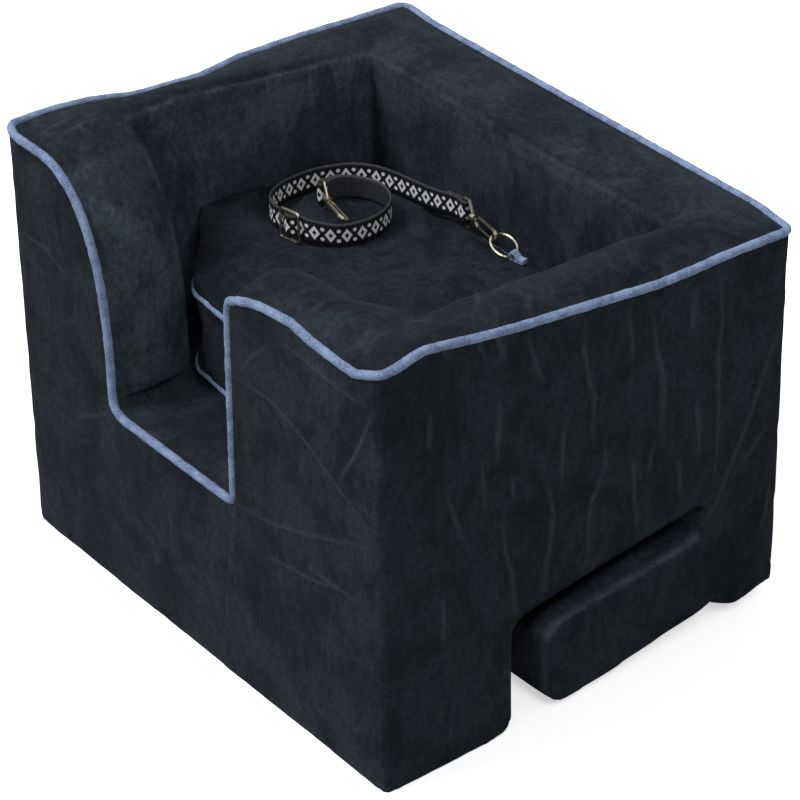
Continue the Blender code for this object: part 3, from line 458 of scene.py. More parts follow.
# its middle line, in tenths of a millimetre
strapRoute = [
    (-496, 916, 2675), (-447, 928, 2677), (-397, 939, 2677), (-299, 967, 2673), (-285, 965, 2673),
    (-274, 956, 2673), (-269, 943, 2673), (-271, 929, 2673), (-280, 918, 2673), (-293, 913, 2673),
    (-394, 919, 2677), (-443, 909, 2677), (-491, 896, 2675), (-540, 884, 2671), (-590, 878, 2664),
    (-640, 872, 2659), (-689, 862, 2657), (-738, 852, 2659), (-788, 843, 2661), (-837, 834, 2662),
    (-887, 827, 2662), (-936, 819, 2663), (-985, 810, 2664), (-1034, 798, 2664), (-1083, 786, 2664),
    (-1131, 771, 2664), (-1177, 752, 2664), (-1221, 728, 2664), (-1262, 699, 2664), (-1300, 666, 2664),
    (-1335, 630, 2664), (-1366, 591, 2662), (-1393, 549, 2659), (-1418, 505, 2655), (-1441, 460, 2652),
    (-1462, 415, 2649), (-1479, 368, 2646), (-1492, 319, 2642), (-1500, 270, 2638), (-1502, 220, 2636),
    (-1500, 170, 2637), (-1491, 120, 2641), (-1479, 72, 2645), (-1462, 24, 2648), (-1442, -22, 2651),
    (-1417, -65, 2654), (-1389, -107, 2658), (-1357, -145, 2662), (-1320, -179, 2666), (-1279, -208, 2673),
    (-1235, -233, 2682), (-1189, -252, 2693), (-1141, -266, 2702), (-1090, -266, 2707), (-1041, -254, 2708),
    (-992, -275, 2709), (-937, -295, 2709), (-894, -256, 2709), (-856, -219, 2709), (-806, -212, 2707),
    (-760, -190, 2702), (-723, -157, 2694), (-688, -121, 2684), (-656, -82, 2675), (-629, -40, 2669),
    (-606, 4, 2667), (-587, 51, 2667), (-574, 99, 2667), (-565, 149, 2667), (-562, 199, 2667),
    (-564, 249, 2667), (-571, 299, 2666), (-584, 347, 2666), (-603, 393, 2666), (-627, 437, 2666),
    (-657, 478, 2665), (-692, 513, 2665), (-731, 544, 2665), (-775, 569, 2666), (-821, 589, 2666),
    (-869, 602, 2666), (-919, 608, 2666), (-969, 604, 2666), (-1018, 592, 2666), (-1063, 571, 2669),
    (-1103, 541, 2674), (-1134, 502, 2683), (-1156, 459, 2692), (-1173, 413, 2701), (-1182, 366, 2705),
    (-1183, 317, 2707), (-1156, 220, 2707), (-1158, 206, 2707), (-1167, 195, 2707), (-1180, 190, 2707),
    (-1194, 192, 2707), (-1205, 201, 2707), (-1210, 214, 2707), (-1203, 316, 2707), (-1202, 368, 2705),
    (-1192, 419, 2701),
]
strapPath = [(x / 10000, y / 10000, z / 10000) for x, y, z in strapRoute]

lead = {
    "width": 0.020, "thickness": 0.0016, "length": 0.482, "step": 0.0015, "rows": 9,
    # the weave and the print, along and across the strap
    "ribs": 0.0012, "threads": 0.0011, "repeat": 0.0125, "diamond": (0.0044, 0.0060),
    "hole": (0.0016, 0.0024), "dotRadius": 0.0016, "dotRise": 0.0042,
    "selvedge": (0.0086, 0.0089),
    # the stretch with no print and broader ribs
    "bareFrom": 0.372, "bareTo": 0.448, "bareFade": 0.002, "broadRibs": 0.0019,
}


def makeWebbing():
    finish = Finish("printedWebbing")
    strapMap = finish.node("UVMap", {"uv_map": "strap"})
    along = finish.node("SeparateXYZ", {}, {0: strapMap})
    across = Wire(finish, along.socket.node.outputs[1])

    def wave(wire, length):
        return (wire * (2 * math.pi / length)).maths("SINE")

    def fromMiddle(turns):
        return (turns.maths("FRACT") - 0.5) * lead["repeat"]

    rib = wave(along, lead["ribs"])
    shift = (along * (math.pi / lead["ribs"])).maths("FLOOR") * math.pi
    weave = (across * (2 * math.pi / lead["threads"]) + shift).maths("SINE")
    run = fromMiddle(along / lead["repeat"]).maths("ABSOLUTE")
    rise = (across - lead["width"] / 2).maths("ABSOLUTE")
    diamond, hole = [run / lead[key][0] + rise / lead[key][1] for key in ("diamond", "hole")]
    dotRun = fromMiddle(along / lead["repeat"] + 0.5)
    dotSize = (dotRun ** 2 + (rise - lead["dotRise"]) ** 2) / lead["dotRadius"] ** 2
    bare = along.between(lead["bareFrom"], lead["bareFrom"] + lead["bareFade"])
    bare = bare * (1 - along.between(lead["bareTo"], lead["bareTo"] + lead["bareFade"]))
    rings = (1 - diamond.between(0.94, 1.06)) * hole.between(0.92, 1.08)
    inked = rings.most(1 - dotSize.between(0.8, 1.2)) * (1 - bare)
    broad = (wave(along, lead["broadRibs"]) * 0.5 + 0.5) * bare
    selvedge = rise.between(*lead["selvedge"]) * (rib * 0.5 + 0.5).between(0.3, 0.7)
    cloth = finish.blend((rib * weave * 0.5 + 0.5) * 0.7, tone(9, 10, 12), tone(34, 36, 40))
    cloth = finish.blend(broad * 0.8, cloth, tone(70, 73, 79))
    base = finish.blend(inked * 0.94, cloth, tone(226, 228, 232))
    base = finish.blend(selvedge * 0.55, base, tone(98, 101, 106))
    finish.set(
        Base_Color=base,
        Roughness=0.55 + rib * 0.08,
        Specular_IOR_Level=0.15,
        Normal=finish.bump(rib * 0.5 + weave * 0.5 + broad, 0.00025, 0.7),
    )
    return finish.material


def strapMesh(name, path, material):
    # a flat strap on its edge, thinner towards its selvedges, with its lengths as UVs
    along = np.gradient(path, axis=0)
    along[:, 2] = 0
    along /= np.linalg.norm(along, axis=1)[:, None]
    side = np.stack([-along[:, 1], along[:, 0], np.zeros(len(path))], axis=1)
    up = np.array([0, 0, 1.0])
    places = np.concatenate([[0], np.cumsum(np.linalg.norm(np.diff(path, axis=0), axis=1))])
    levels = [i / (lead["rows"] - 1) - 0.5 for i in range(lead["rows"])]
    profile = [(a, 0.5) for a in levels] + [(-a, -0.5) for a in levels]
    size = len(profile)
    points = []
    for i in range(len(path)):
        for a, b in profile:
            soft = 1 - 0.35 * abs(2 * a) ** 6
            points.append(tuple(path[i] + up * a * lead["width"] + side[i] * b * lead["thickness"] * soft))
    faces = ringFaces(size, len(path))
    maps = [(places[n // size], (profile[n % size][0] + 0.5) * lead["width"]) for face in faces for n in face]
    piece = formObject(name, points, faces, material)
    layer = piece.data.uv_layers.new(name="strap")
    layer.data.foreach_set("uv", np.array(maps, np.float32).ravel())
    return piece


def makeLead():
    fine = spacedPoints(strapPath, lead["step"])
    piece = strapMesh("leadWebbing", fine, makeWebbing())
    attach(piece, "cushion")
    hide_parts("lead_webbing")
    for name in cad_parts:
        if any(word in name for word in ("hook", "eye", "gate", "adjuster")) or name == "ring":
            paint(name, nickel)
    paint("ring_tab", pipingCloth)


makeLead()
print("lead made")


# Studio

studio = {
    "fill": 0.36, "fillColour": (0.93, 0.97, 1.0), "keyStrength": 2.7,
    "keyDirection": (-0.35, -0.65, 1.0), "keyAngle": 20, "sideStrength": 1.0,
    "sideDirection": (0.75, -0.15, 1.0), "sideAngle": 30, "floorReach": 6, "floorShade": 0.40,
    "floorLight": 0.55,
}


def makeStudio():
    world = bpy.data.worlds.new("studio")
    tree = NodeTree(world)
    fill = tree.node("Background", {}, {"Color": studio["fillColour"], "Strength": studio["fill"]})
    white = tree.node("Background", {}, {"Color": (1, 1, 1), "Strength": 1})
    straight, glossy, through = [
        tree.node("LightPath", output=kind) for kind in ("Is Camera Ray", "Is Glossy Ray", "Is Transmission Ray")
    ]
    seen = straight.most(glossy).most(through)
    tree.node("OutputWorld", {}, {0: tree.node("MixShader", {}, {0: seen, 1: fill, 2: white})})
    bpy.context.scene.world = world
    for name in ("key", "side"):
        data = bpy.data.lights.new(name + "Lamp", "SUN")
        data.energy = studio[name + "Strength"]
        data.angle = math.radians(studio[name + "Angle"])
        lamp = addObject(name + "Lamp", data)
        lamp.rotation_mode = "QUATERNION"
        lamp.rotation_quaternion = Vector(studio[name + "Direction"]).to_track_quat("Z", "Y")


def makeFloor():
    # white as the camera sees it, and paler grey as it lights the seat from below
    finish = Finish("studioFloor")
    straight = finish.node("LightPath", output="Is Camera Ray")
    shade = (studio["floorShade"],) * 3
    light = (studio["floorLight"],) * 3
    speck = finish.noise(40.0, 2)
    pale = finish.blend(speck, tone(246, 246, 247), tone(252, 252, 252))
    finish.set(
        Base_Color=finish.blend(straight, shade, pale),
        Roughness=0.9 + speck * 0.05,
        Specular_IOR_Level=0.0,
        Emission_Color=finish.blend(straight, (0, 0, 0), light),
        Emission_Strength=1.0,
        Normal=finish.bump(speck, 0.0002, 0.1),
    )
    reach = studio["floorReach"]
    outline = [(x, y, 0) for x, y in corners(-reach, reach, -reach, reach)]
    formObject("floor", outline, [(0, 1, 2, 3)], finish.material)


makeStudio()
makeFloor()
bpy.context.scene.view_settings.view_transform = "Standard"
print("studio in place")


# The seat's lines


# the walk-in, seen from the front: its upright edges, and where its left shoulder starts and bends
walkIn = {
    "left": -0.104,
    "right": 0.050,
    "rightTop": 0.054,
    "shoulder": -0.185,
    "shoulderPull": -0.129,
    "shoulderPullHeight": 0.295,
    "shoulderFoot": 0.200,
    "footRadii": (0.012, 0.005),
    "topRadius": 0.026,
    # where the two posts' sides are told apart
    "split": -0.03,
}


def openingLine():
    # the walk-in opening as (x, z)
    top = seat["frontHeight"]
    sill = seat["sillHeight"]
    left = walkIn["left"]
    shoulder = bezierLine(
        (walkIn["shoulder"], top),
        (walkIn["shoulderPull"], top),
        (left, walkIn["shoulderPullHeight"]),
        (left, walkIn["shoulderFoot"]),
        24,
    )
    leftRadius, rightRadius = walkIn["footRadii"]
    turns = [(*shoulder[-1], 0), (left, sill, leftRadius), (walkIn["right"], sill, rightRadius)]
    turns += [(walkIn["rightTop"], top, walkIn["topRadius"]), (seat["halfWidth"], top, 0)]
    return [(-seat["halfWidth"], top), *shoulder[:-1], *roundedLine(turns, closed=False)]


def channelLine():
    # the belt channel as (y, z), from the front leg's foot to the rear foot
    return roundedLine(
        [
            (seat["legBack"] - 0.018, 0, 0),
            (seat["legBack"], 0, 0.014),
            (seat["legBack"], 0.0985, 0.016),
            (0.010, 0.1100, 0.060),
            (seat["slotEnd"], 0.1215, 0.006),
            (seat["slotEnd"], 0.0865, 0.006),
            (seat["tongueTip"], 0.073, 0.018),
            (seat["tongueTip"], 0.003, 0.014),
            (seat["tongueRoot"], 0.014, 0.018),
            (seat["footFront"], 0, 0.014),
            (seat["footFront"] + 0.008, 0, 0),
        ],
        closed=False,
    )


opening = openingLine()
channel = channelLine()

# The upholstered body: one closed form, made soft, then parted at its seams

body = {
    "voxel": 0.0026,
    "cornerRadius": 0.007,
    "softening": 3,
    "hem": 0.009,
    "panelPuff": 0.0020,
    "rimCrown": 0.0060,
    "crownSoftness": 0.010,
    "seamDepth": 0.0010,
    "seamWidth": 0.0016,
    "seamSpacing": 0.0025,
    "waves": 0.0012,
    "clothThickness": 0.0016,
    # where the rim's rise starts and is full: in x at each side, in y at the front, in z below the rim
    "rightRun": (0.185, 0.222),
    "leftRun": (0.182, 0.222),
    "leftInnerRun": (0.10, 0.165),
    "frontRun": (-0.188, -0.150),
    "riseRun": (0.255, 0.335),
    # how far the rim stands above its straight line: (y, rise) at the sides, (x, rise) at the front
    "rightSway": [
        (-0.195, 0.004), (-0.177, 0.008), (-0.149, 0.0105), (-0.102, 0.0045), (-0.070, 0.001), (-0.006, -0.003),
        (0.061, -0.0075), (0.095, -0.0065), (0.130, -0.0045), (0.195, -0.004),
    ],
    "leftSway": [
        (-0.195, 0.003), (-0.176, 0.005), (-0.143, 0.005), (-0.114, 0.003), (-0.073, -0.004), (-0.013, -0.005),
        (0.025, 0.001), (0.084, 0.003), (0.176, 0.003),
    ],
    "leftInnerSway": [(-0.160, 0.004), (-0.127, 0.008), (-0.071, 0.012), (0.017, 0.006), (0.110, 0.0)],
    "frontSway": [
        (-0.229, 0.005), (-0.214, -0.001), (-0.185, -0.001), (0.040, 0.0), (0.056, -0.002), (0.062, -0.008),
        (0.073, -0.0095), (0.098, -0.0035), (0.129, -0.0005), (0.154, -0.0045), (0.184, -0.0065), (0.202, -0.0065),
        (0.219, 0.001), (0.229, 0.004),
    ],
}


def smoothStep(value, low, high):
    share = np.clip((value - low) / (high - low), 0, 1)
    return share * share * (3 - 2 * share)


def sway(points):
    # the padded rim isn't straight: it rises to its corners and dips between them
    x, y, z = points.T
    right = np.interp(y, *zip(*body["rightSway"])) * smoothStep(x, *body["rightRun"])
    inward = 1 - smoothStep(-x, *body["leftRun"])
    left = np.interp(y, *zip(*body["leftSway"])) * (1 - inward)
    leftInner = np.interp(y, *zip(*body["leftInnerSway"]), right=0)
    left += leftInner * inward * smoothStep(-x, *body["leftInnerRun"])
    side = np.where(x < 0, left, right)
    front = np.interp(x, *zip(*body["frontSway"]))
    nearFront = 1 - smoothStep(y, *body["frontRun"])
    rise = side * (1 - nearFront) + front * nearFront
    moved = np.zeros_like(points)
    moved[:, 2] = rise * smoothStep(z, *body["riseRun"])
    return moved


piping = {"sides": 12, "fuzz": 0.0003, "fuzzScale": 0.004, "step": 0.003}


def pipingPath():
    inset = seat["pipingInset"]
    radius = body["cornerRadius"]
    edge = seat["halfWidth"] - radius
    y = -seat["halfDepth"] + inset
    top = seat["frontHeight"] - inset
    across = [(x, y, z) for x, z in offsetLine(opening, -inset) if abs(x) < edge]
    path = [(-edge, y, top), *across, (edge, y, top)]
    quarter = math.pi / 2
    turns = []
    for x, side, start in ((edge, -1, -quarter), (edge, 1, 0), (-edge, 1, quarter), (-edge, -1, 2 * quarter)):
        centre = (x, side * (seat["halfDepth"] - radius))
        turns += [(a, b, top) for a, b in arcPoints(centre, radius - inset, start, start + quarter, 8)]
    raked = [(x, y, rakeHeight(y, z)) for x, y, z in path + turns[1:-1]]
    line = spacedPoints(raked, piping["step"], closed=True)
    for _ in range(2):
        line = line * 0.5 + (np.roll(line, 1, axis=0) + np.roll(line, -1, axis=0)) * 0.25
    return line


# Creases in millimetres: (y, z) on the sides, (x, z) on the front and back, (x, y) on the rims and posts
creases = {
    "rightCover": [
        [(-62, 342), (-53, 309), (-48, 298)],
        [(-9, 336), (-11, 310), (-6, 281), (0, 269), (-1, 249), (1, 220)], [(31, 332), (37, 282)],
        [(55, 323), (60, 279), (65, 258), (65, 227), (65, 193)],
        [(118, 328), (122, 281), (119, 258), (122, 204), (120, 134)], [(94, 322), (93, 295), (90, 286)],
        [(101, 222), (102, 171)],
        [(182, 250), (170, 222), (160, 199), (146, 168), (133, 138), (121, 114), (107, 97)],
        [(175, 169), (150, 147)], [(-91, 354), (-82, 327)], [(-106, 351), (-98, 330)],
        [(-138, 357), (-132, 343)], [(-87, 297), (-90, 247)], [(-148, 306), (-149, 280)],
        [(-21, 269), (-29, 248), (-30, 200)], [(12, 225), (11, 201), (-3, 175), (-3, 131), (-8, 114)],
        [(-44, 215), (-38, 181), (-41, 151), (-46, 118)], [(39, 201), (41, 156), (46, 122)],
        [(59, 202), (53, 176)], [(82, 179), (86, 143)], [(-135, 241), (-124, 207), (-121, 194)],
        [(-86, 195), (-81, 166), (-75, 144), (-71, 104)], [(-139, 158), (-139, 111)],
        [(-103, 256), (-100, 212)], [(-75, 229), (-74, 210)], [(180, 118), (173, 75)],
    ],
    "frontCover": [
        [(62, 279), (103, 282), (144, 269), (174, 251), (214, 231)],
        [(55, 166), (96, 171), (140, 185), (213, 212)], [(144, 158), (201, 159)],
        [(120, 335), (155, 338), (197, 337), (219, 330)], [(-154, 135), (-108, 160)],
        [(71, 293), (83, 309), (105, 328)], [(222, 327), (201, 283), (184, 253)],
        [(-208, 273), (-177, 275), (-154, 262)], [(95, 142), (149, 149), (191, 161)],
    ],
    "leftPost": [[(-217, -165), (-211, -125)], [(-183, -175), (-182, -135)], [(-200, -180), (-196, -150)]],
    "rightPost": [
        [(117, -188), (108, -160), (118, -139)], [(135, -184), (128, -156), (136, -140)],
        [(160, -186), (150, -165), (154, -138)], [(176, -186), (184, -172), (171, -144)],
        [(196, -180), (188, -165), (190, -146)],
    ],
    "rightRim": [
        [(177, -38), (209, -45), (222, -52)], [(167, -58), (187, -71), (204, -88)],
        [(154, -134), (198, -138)], [(159, -131), (207, -120)], [(203, -70), (222, -84)],
    ],
}
# seams and folds that sink in instead
grooves = {
    "frontCover": [[(47, 158), (42, 100), (31, 28)]],
    "backRim": [[(-176, 119), (-60, 118), (60, 118), (175, 119)]],
    "leftRim": [[(-179, -114), (-179, 0), (-179, 112)]],
}
# the two axes that creases are measured along, where they aren't x and y
creaseAxes = {"rightCover": (1, 2), "leftCover": (1, 2), "frontCover": (0, 2), "backCover": (0, 2)}


def bodySolid():
    w = seat["halfWidth"]
    d = seat["halfDepth"]
    past = 0.05  # how far the cutting forms reach past the block
    above = 0.5
    plan = roundedLine([(x, y, body["cornerRadius"]) for x, y in corners(-w, w, -d, d)])
    block = plateObject("body", plan, "Z", 0.0, seat["frontHeight"])
    wellPlan = zip(corners(-wellHalf, wellHalf, wellFront, wellBack), (0.002, 0.002, 0.004, 0.004))
    well = roundedLine([(*place, radius) for place, radius in wellPlan])
    cutWith(block, plateObject("well", well, "Z", seat["sillHeight"], above))
    inner = [point for point in opening if abs(point[0]) < w - 0.03]
    entry = [*inner, (inner[-1][0], above), (inner[0][0], above)]
    cutWith(block, plateObject("entry", entry, "Y", -d - past, wellFront + 0.01))
    below = [(channel[-1][0], -past), (channel[0][0], -past)]
    cutWith(block, plateObject("channel", [*channel, *below], "X", -w - past, w + past))
    for vertex in block.data.vertices:
        vertex.co.z = rakeHeight(vertex.co.y, vertex.co.z)
    return remeshed(block, body["voxel"])


def meshArrays(mesh):
    points = np.empty(len(mesh.vertices) * 3)
    mesh.vertices.foreach_get("co", points)
    quads = np.empty(len(mesh.loops), int)
    mesh.loops.foreach_get("vertex_index", quads)
    return points.reshape(-1, 3), quads.reshape(-1, 4)


def setPoints(mesh, points):
    mesh.vertices.foreach_set("co", points.astype(np.float32).ravel())


def vertexNormals(points, quads):
    a, b, c, d = (points[quads[:, k]] for k in range(4))
    facing = np.cross(c - a, d - b)
    normals = np.zeros_like(points)
    for k in range(4):
        for axis in range(3):
            normals[:, axis] += np.bincount(quads[:, k], facing[:, axis], len(points))
    return normals / np.maximum(np.linalg.norm(normals, axis=1), 1e-12)[:, None]


def quadEdges(quads):
    return np.concatenate([quads[:, [k, (k + 1) % 4]] for k in range(4)])


def smoothPoints(points, quads, times):
    a, b = quadEdges(quads).T
    count = np.maximum(np.bincount(a, minlength=len(points)) + np.bincount(b, minlength=len(points)), 1)
    for _ in range(times):
        moved = np.zeros_like(points)
        for axis in range(points.shape[1]):
            moved[:, axis] = np.bincount(a, points[b, axis], len(points))
            moved[:, axis] += np.bincount(b, points[a, axis], len(points))
        points = points + (moved / count[:, None] - points) * 0.5
    return points


def coverMesh(name, points, quads):
    # from_pydata would be slow for a mesh of this size
    mesh = bpy.data.meshes.new(name)
    mesh.vertices.add(len(points))
    setPoints(mesh, points)
    mesh.loops.add(quads.size)
    mesh.loops.foreach_set("vertex_index", quads.astype(np.int32).ravel())
    mesh.polygons.add(len(quads))
    mesh.polygons.foreach_set("loop_start", np.arange(0, quads.size, 4, dtype=np.int32))
    mesh.update(calc_edges=True)
    mesh.validate()
    mesh.shade_smooth()
    mesh.materials.append(suede)
    return addObject(name, mesh)


def shellPiece(name, points, normals, quads, marks):
    # a patch of cloth with its back and its edges, as one closed shell
    used, index = np.unique(quads, return_inverse=True)
    local = index.reshape(quads.shape)
    count = len(used)
    front = points[used]
    facing = normals[used]
    back = front - facing * body["clothThickness"]
    edges = quadEdges(local)
    keys = edges[:, 0].astype(np.int64) * count + edges[:, 1]
    mirrored = edges[:, 1].astype(np.int64) * count + edges[:, 0]
    free = edges[~np.isin(keys, mirrored)]
    sides = np.stack([free[:, 1], free[:, 0], free[:, 0] + count, free[:, 1] + count], axis=1)
    everything = np.concatenate([local, local[:, ::-1] + count, sides])
    made = coverMesh(name, np.concatenate([front, back]), everything)
    made.data.normals_split_custom_set_from_vertices(np.concatenate([facing, -facing]).tolist())
    for mark, values in marks.items():
        layer = made.data.attributes.new(mark, "FLOAT", "POINT")
        layer.data.foreach_set("value", np.tile(values[used], 2).astype(np.float32))
    return made


def seamLines():
    # every sewn line of the body, as points in space
    w = seat["halfWidth"]
    d = seat["halfDepth"]
    sill = seat["sillHeight"]
    rim = pipingPath()
    lines = [np.concatenate([rim, rim[:1]])]
    inset = body["cornerRadius"] * 0.3
    for x, y in corners(inset - w, w - inset, inset - d, d - inset):
        lines.append([(x, y, 0), (x, y, rimHeight(y))])
    around = corners(-w, w, -d, d)
    lines.append([(x, y, body["hem"]) for x, y in around + around[:1]])
    for x in (-w, w):
        lines.append([(x, y, z) for y, z in channel])
    for y in (wellBack, wellFront):
        for x in (-wellHalf, wellHalf):
            lines.append([(x, y, rimHeight(y)), (x, y, sill)])
    around = corners(-wellHalf, wellHalf, wellFront, wellBack)
    lines.append([(x, y, sill) for x, y in around + around[:1]])
    lines.append([(x, wellFront, rakeHeight(wellFront, z)) for x, z in opening if abs(x) < wellHalf])
    return lines


def seamDistances(points, lines):
    # how far each point is from the nearest seam, and where along the seams that is
    spacing = body["seamSpacing"]
    samples = []
    places = []
    start = 0.0
    for line in lines:
        samples.append(spacedPoints(line, spacing))
        run = np.arange(len(samples[-1])) * spacing + start
        places.append(run)
        start = run[-1] + 0.5
    samples = np.concatenate(samples)
    places = np.concatenate(places)
    tree = KDTree(len(samples))
    for i, sample in enumerate(samples):
        tree.insert(sample, i)
    tree.balance()
    found = [tree.find(point)[1:] for point in points]
    return np.array([away for _, away in found]), places[[index for index, _ in found]]


def latticeNoise(points, scale, seed):
    # smooth value noise, from -1 to 1
    table = np.random.RandomState(seed).uniform(-1, 1, 4096)
    cell = points / scale
    low = np.floor(cell).astype(np.int64)
    part = cell - low
    part = part * part * (3 - 2 * part)
    total = np.zeros(len(points))
    for step in np.ndindex(2, 2, 2):
        key = 0
        weight = 1.0
        for k, prime in enumerate((73856093, 19349663, 83492791)):
            key = key ^ (low[:, k] + step[k]) * prime
            weight = weight * (part[:, k] if step[k] else 1 - part[:, k])
        total += table[key % len(table)] * weight
    return total


def seamNoise(place, scale, seed):
    return latticeNoise(np.stack([place, place * 0, place * 0], axis=1), scale, seed)


# creases left to chance: how many, how far to each side, and between which heights they start, in millimetres
chanceCreases = {"leftCover": (22, 170, 160, 340), "backCover": (20, 200, 130, 325)}
creaseShape = {
    "width": 0.0016, "height": 0.0008, "grooveDepth": 0.0014, "step": 1.6, "stepReach": 3,
    "spacing": 0.004, "margin": 0.02, "endPower": 0.6, "snap": 0.52, "levelShine": 0.5,
    "rimAbove": 0.33,
}


def randomCreases(count, reach, low, high, generator):
    lines = []
    for _ in range(count):
        across = generator.uniform(-reach, reach)
        top = generator.uniform(low, high)
        length = generator.uniform(30, 90)
        line = []
        for step in range(4):
            across += generator.uniform(-4, 4)
            line.append((across, top - length * step / 3))
        lines.append(line)
    return lines


def creaseField(across, up, lines):
    # a sharp ridge along each line, a soft step beside it, and the slide that brings the nearest points onto it
    width = creaseShape["width"]
    reach = creaseShape["stepReach"] * width
    snap = creaseShape["snap"] * body["voxel"]
    ridge = np.zeros(len(across))
    step = np.zeros(len(across))
    slide = np.zeros((len(across), 2))
    for line in lines:
        path = spacedPoints([(a / 1000, b / 1000) for a, b in line], creaseShape["spacing"])
        low = path.min(axis=0) - creaseShape["margin"]
        high = path.max(axis=0) + creaseShape["margin"]
        near = (across > low[0]) & (across < high[0]) & (up > low[1]) & (up < high[1])
        if not near.any():
            continue
        here = np.stack([across[near], up[near]], axis=1)
        best = np.full(len(here), 1.0)
        signed = np.zeros(len(here))
        taper = np.zeros(len(here))
        pull = np.zeros_like(here)
        for i in range(len(path) - 1):
            run = path[i + 1] - path[i]
            share = np.clip(((here - path[i]) @ run) / (run @ run), 0, 1)
            away = here - path[i] - share[:, None] * run
            distance = np.linalg.norm(away, axis=1)
            closer = distance < best
            best = np.where(closer, distance, best)
            pull = np.where(closer[:, None], -away, pull)
            side = np.sign(run[0] * away[:, 1] - run[1] * away[:, 0])
            signed = np.where(closer, side * distance, signed)
            along = (i + share) / (len(path) - 1)
            bow = np.sin(math.pi * np.clip(along * 0.96 + 0.02, 0, 1)) ** creaseShape["endPower"]
            taper = np.where(closer, bow, taper)
        snapped = (best < snap) & (taper > 0.05)
        value = np.where(snapped, 1, np.exp(-(best / width) ** 2)) * taper
        ridge[near] = np.maximum(ridge[near], value)
        step[near] += taper * signed / reach * np.exp(-(signed / reach) ** 2)
        slide[near] = np.where(snapped[:, None], pull, slide[near])
    return ridge, step, slide


def creaseBody(points, names, move, wearAndHighlight):
    # adds the creases and the sunk lines: the way out, the share of wear and painted highlight with the painted
    # highlights on the crease ridges, the slide to the lines and the painted shade along the sunk lines
    generator = random.Random(5)
    given = dict(creases)
    for name, (count, reach, low, high) in chanceCreases.items():
        given[name] = randomCreases(count, reach, low, high, generator)
    slide = np.zeros_like(points)
    shade = np.zeros(len(points))
    for lines, depth, shine in ((given, creaseShape["height"], 1.0), (grooves, -creaseShape["grooveDepth"], 0)):
        for name, found in lines.items():
            first, second = creaseAxes.get(name, (0, 1))
            chosen = names == name
            if second == 1:
                chosen = chosen & (points[:, 2] > creaseShape["rimAbove"])
            across = np.where(chosen, points[:, first], 9.0)
            ridge, step, pull = creaseField(across, points[:, second], found)
            move = move + np.where(chosen, ridge * depth + step * abs(depth) * creaseShape["step"], 0)
            # creases that lie on a level rim catch less of the light
            light = shine * (creaseShape["levelShine"] if second == 1 else 1)
            # painted highlight along each crease's ridge
            wearAndHighlight = np.maximum(wearAndHighlight, np.where(chosen, ridge * light, 0))
            # the sunk lines get painted shade instead
            if not shine:
                shade = np.maximum(shade, np.where(chosen, ridge, 0))
            slide[:, first] += np.where(chosen, pull[:, 0], 0)
            slide[:, second] += np.where(chosen, pull[:, 1], 0)
    return move, wearAndHighlight, slide, shade


def rimCrownShare(x, y):
    # 0 at the rim's outer and inner edges and 1 along its middle, rounded at the corners
    soft = body["crownSoftness"]
    toSide = seat["halfWidth"] - np.abs(x)
    toEnd = seat["halfDepth"] - np.abs(y)
    outer = -soft * np.log(np.exp(-toSide / soft) + np.exp(-toEnd / soft))
    outer = np.maximum(outer, 0)
    overSide = np.maximum(np.abs(x) - wellHalf, 0)
    overEnd = np.maximum(np.maximum(wellFront - y, y - wellBack), 0)
    inner = np.hypot(overSide, overEnd)
    return np.sin(np.clip(outer / np.maximum(outer + inner, 1e-6), 0, 1) * math.pi)


rimNames = ("leftRim", "rightRim", "backRim", "leftPost", "rightPost")

# how far the left wall bulges into the well, as (y, bulge), and the heights between which it swells and ends
wallBulge = [
    (-0.117, 0.0012), (-0.095, 0.0036), (-0.040, 0.0040), (0.010, 0.0034), (0.040, 0.0026), (0.076, 0.0014),
    (0.105, 0.0),
]

wallRise = {"foot": (0.163, 0.19), "head": (0.27, 0.335)}

# painted light and shade on each face, for how the light falls on it: above 1 is paler than the cloth's own tone
faceLightTones = {
    "rightCover": 0.75,
    "leftCover": 0.9,
    "tongueCover": 1.1,
    "frontCover": 0.87,
    "legLining": 1.0,
    "rightPost": 0.77,
    "rightRim": 0.79,
    "backRim": 0.93,
    "leftRim": 0.95,
    "deckCover": 1.08,
}
# and painted light on the faces inside the well, which the lamps barely reach, with a painted lit band below the
# rim and painted shade along the sunk lines
wellLightTones = {
    "leftWall": 1.65, "leftPost": 1.75, "litBand": 1.05, "bandMore": 0.30,
    "bandRun": (0.285, 0.325), "lines": 0.55,
}

# the cloth between its seams: sizes, scales, and how far from a seam each thing starts
drape = {
    "puffReach": 0.022, "crownRun": (0.002, 0.014), "calmRun": (0.003, 0.012),
    "waveScale": 0.045, "fineScale": 0.018, "ripples": 0.0007, "rippleScale": 0.0075,
    "rippleReach": 0.012, "pleats": 0.0013, "pleatScale": 0.014, "pleatStretch": 0.18,
    "pleatRun": (0.10, 0.30), "frontWaves": 0.0012, "frontScale": 0.05,
}

# the sewn edge down each upright corner, the hollow beside it and the tucks across it
welt = {
    "height": 0.0006, "width": 0.004, "hollow": 0.8, "hollowAt": 0.008, "hollowWidth": 0.0025,
    "tucks": 0.0007, "tuckScale": 0.013, "tuckReach": 0.012, "rubAndHighlight": 0.4,
    "rubbedReach": 0.005,
}


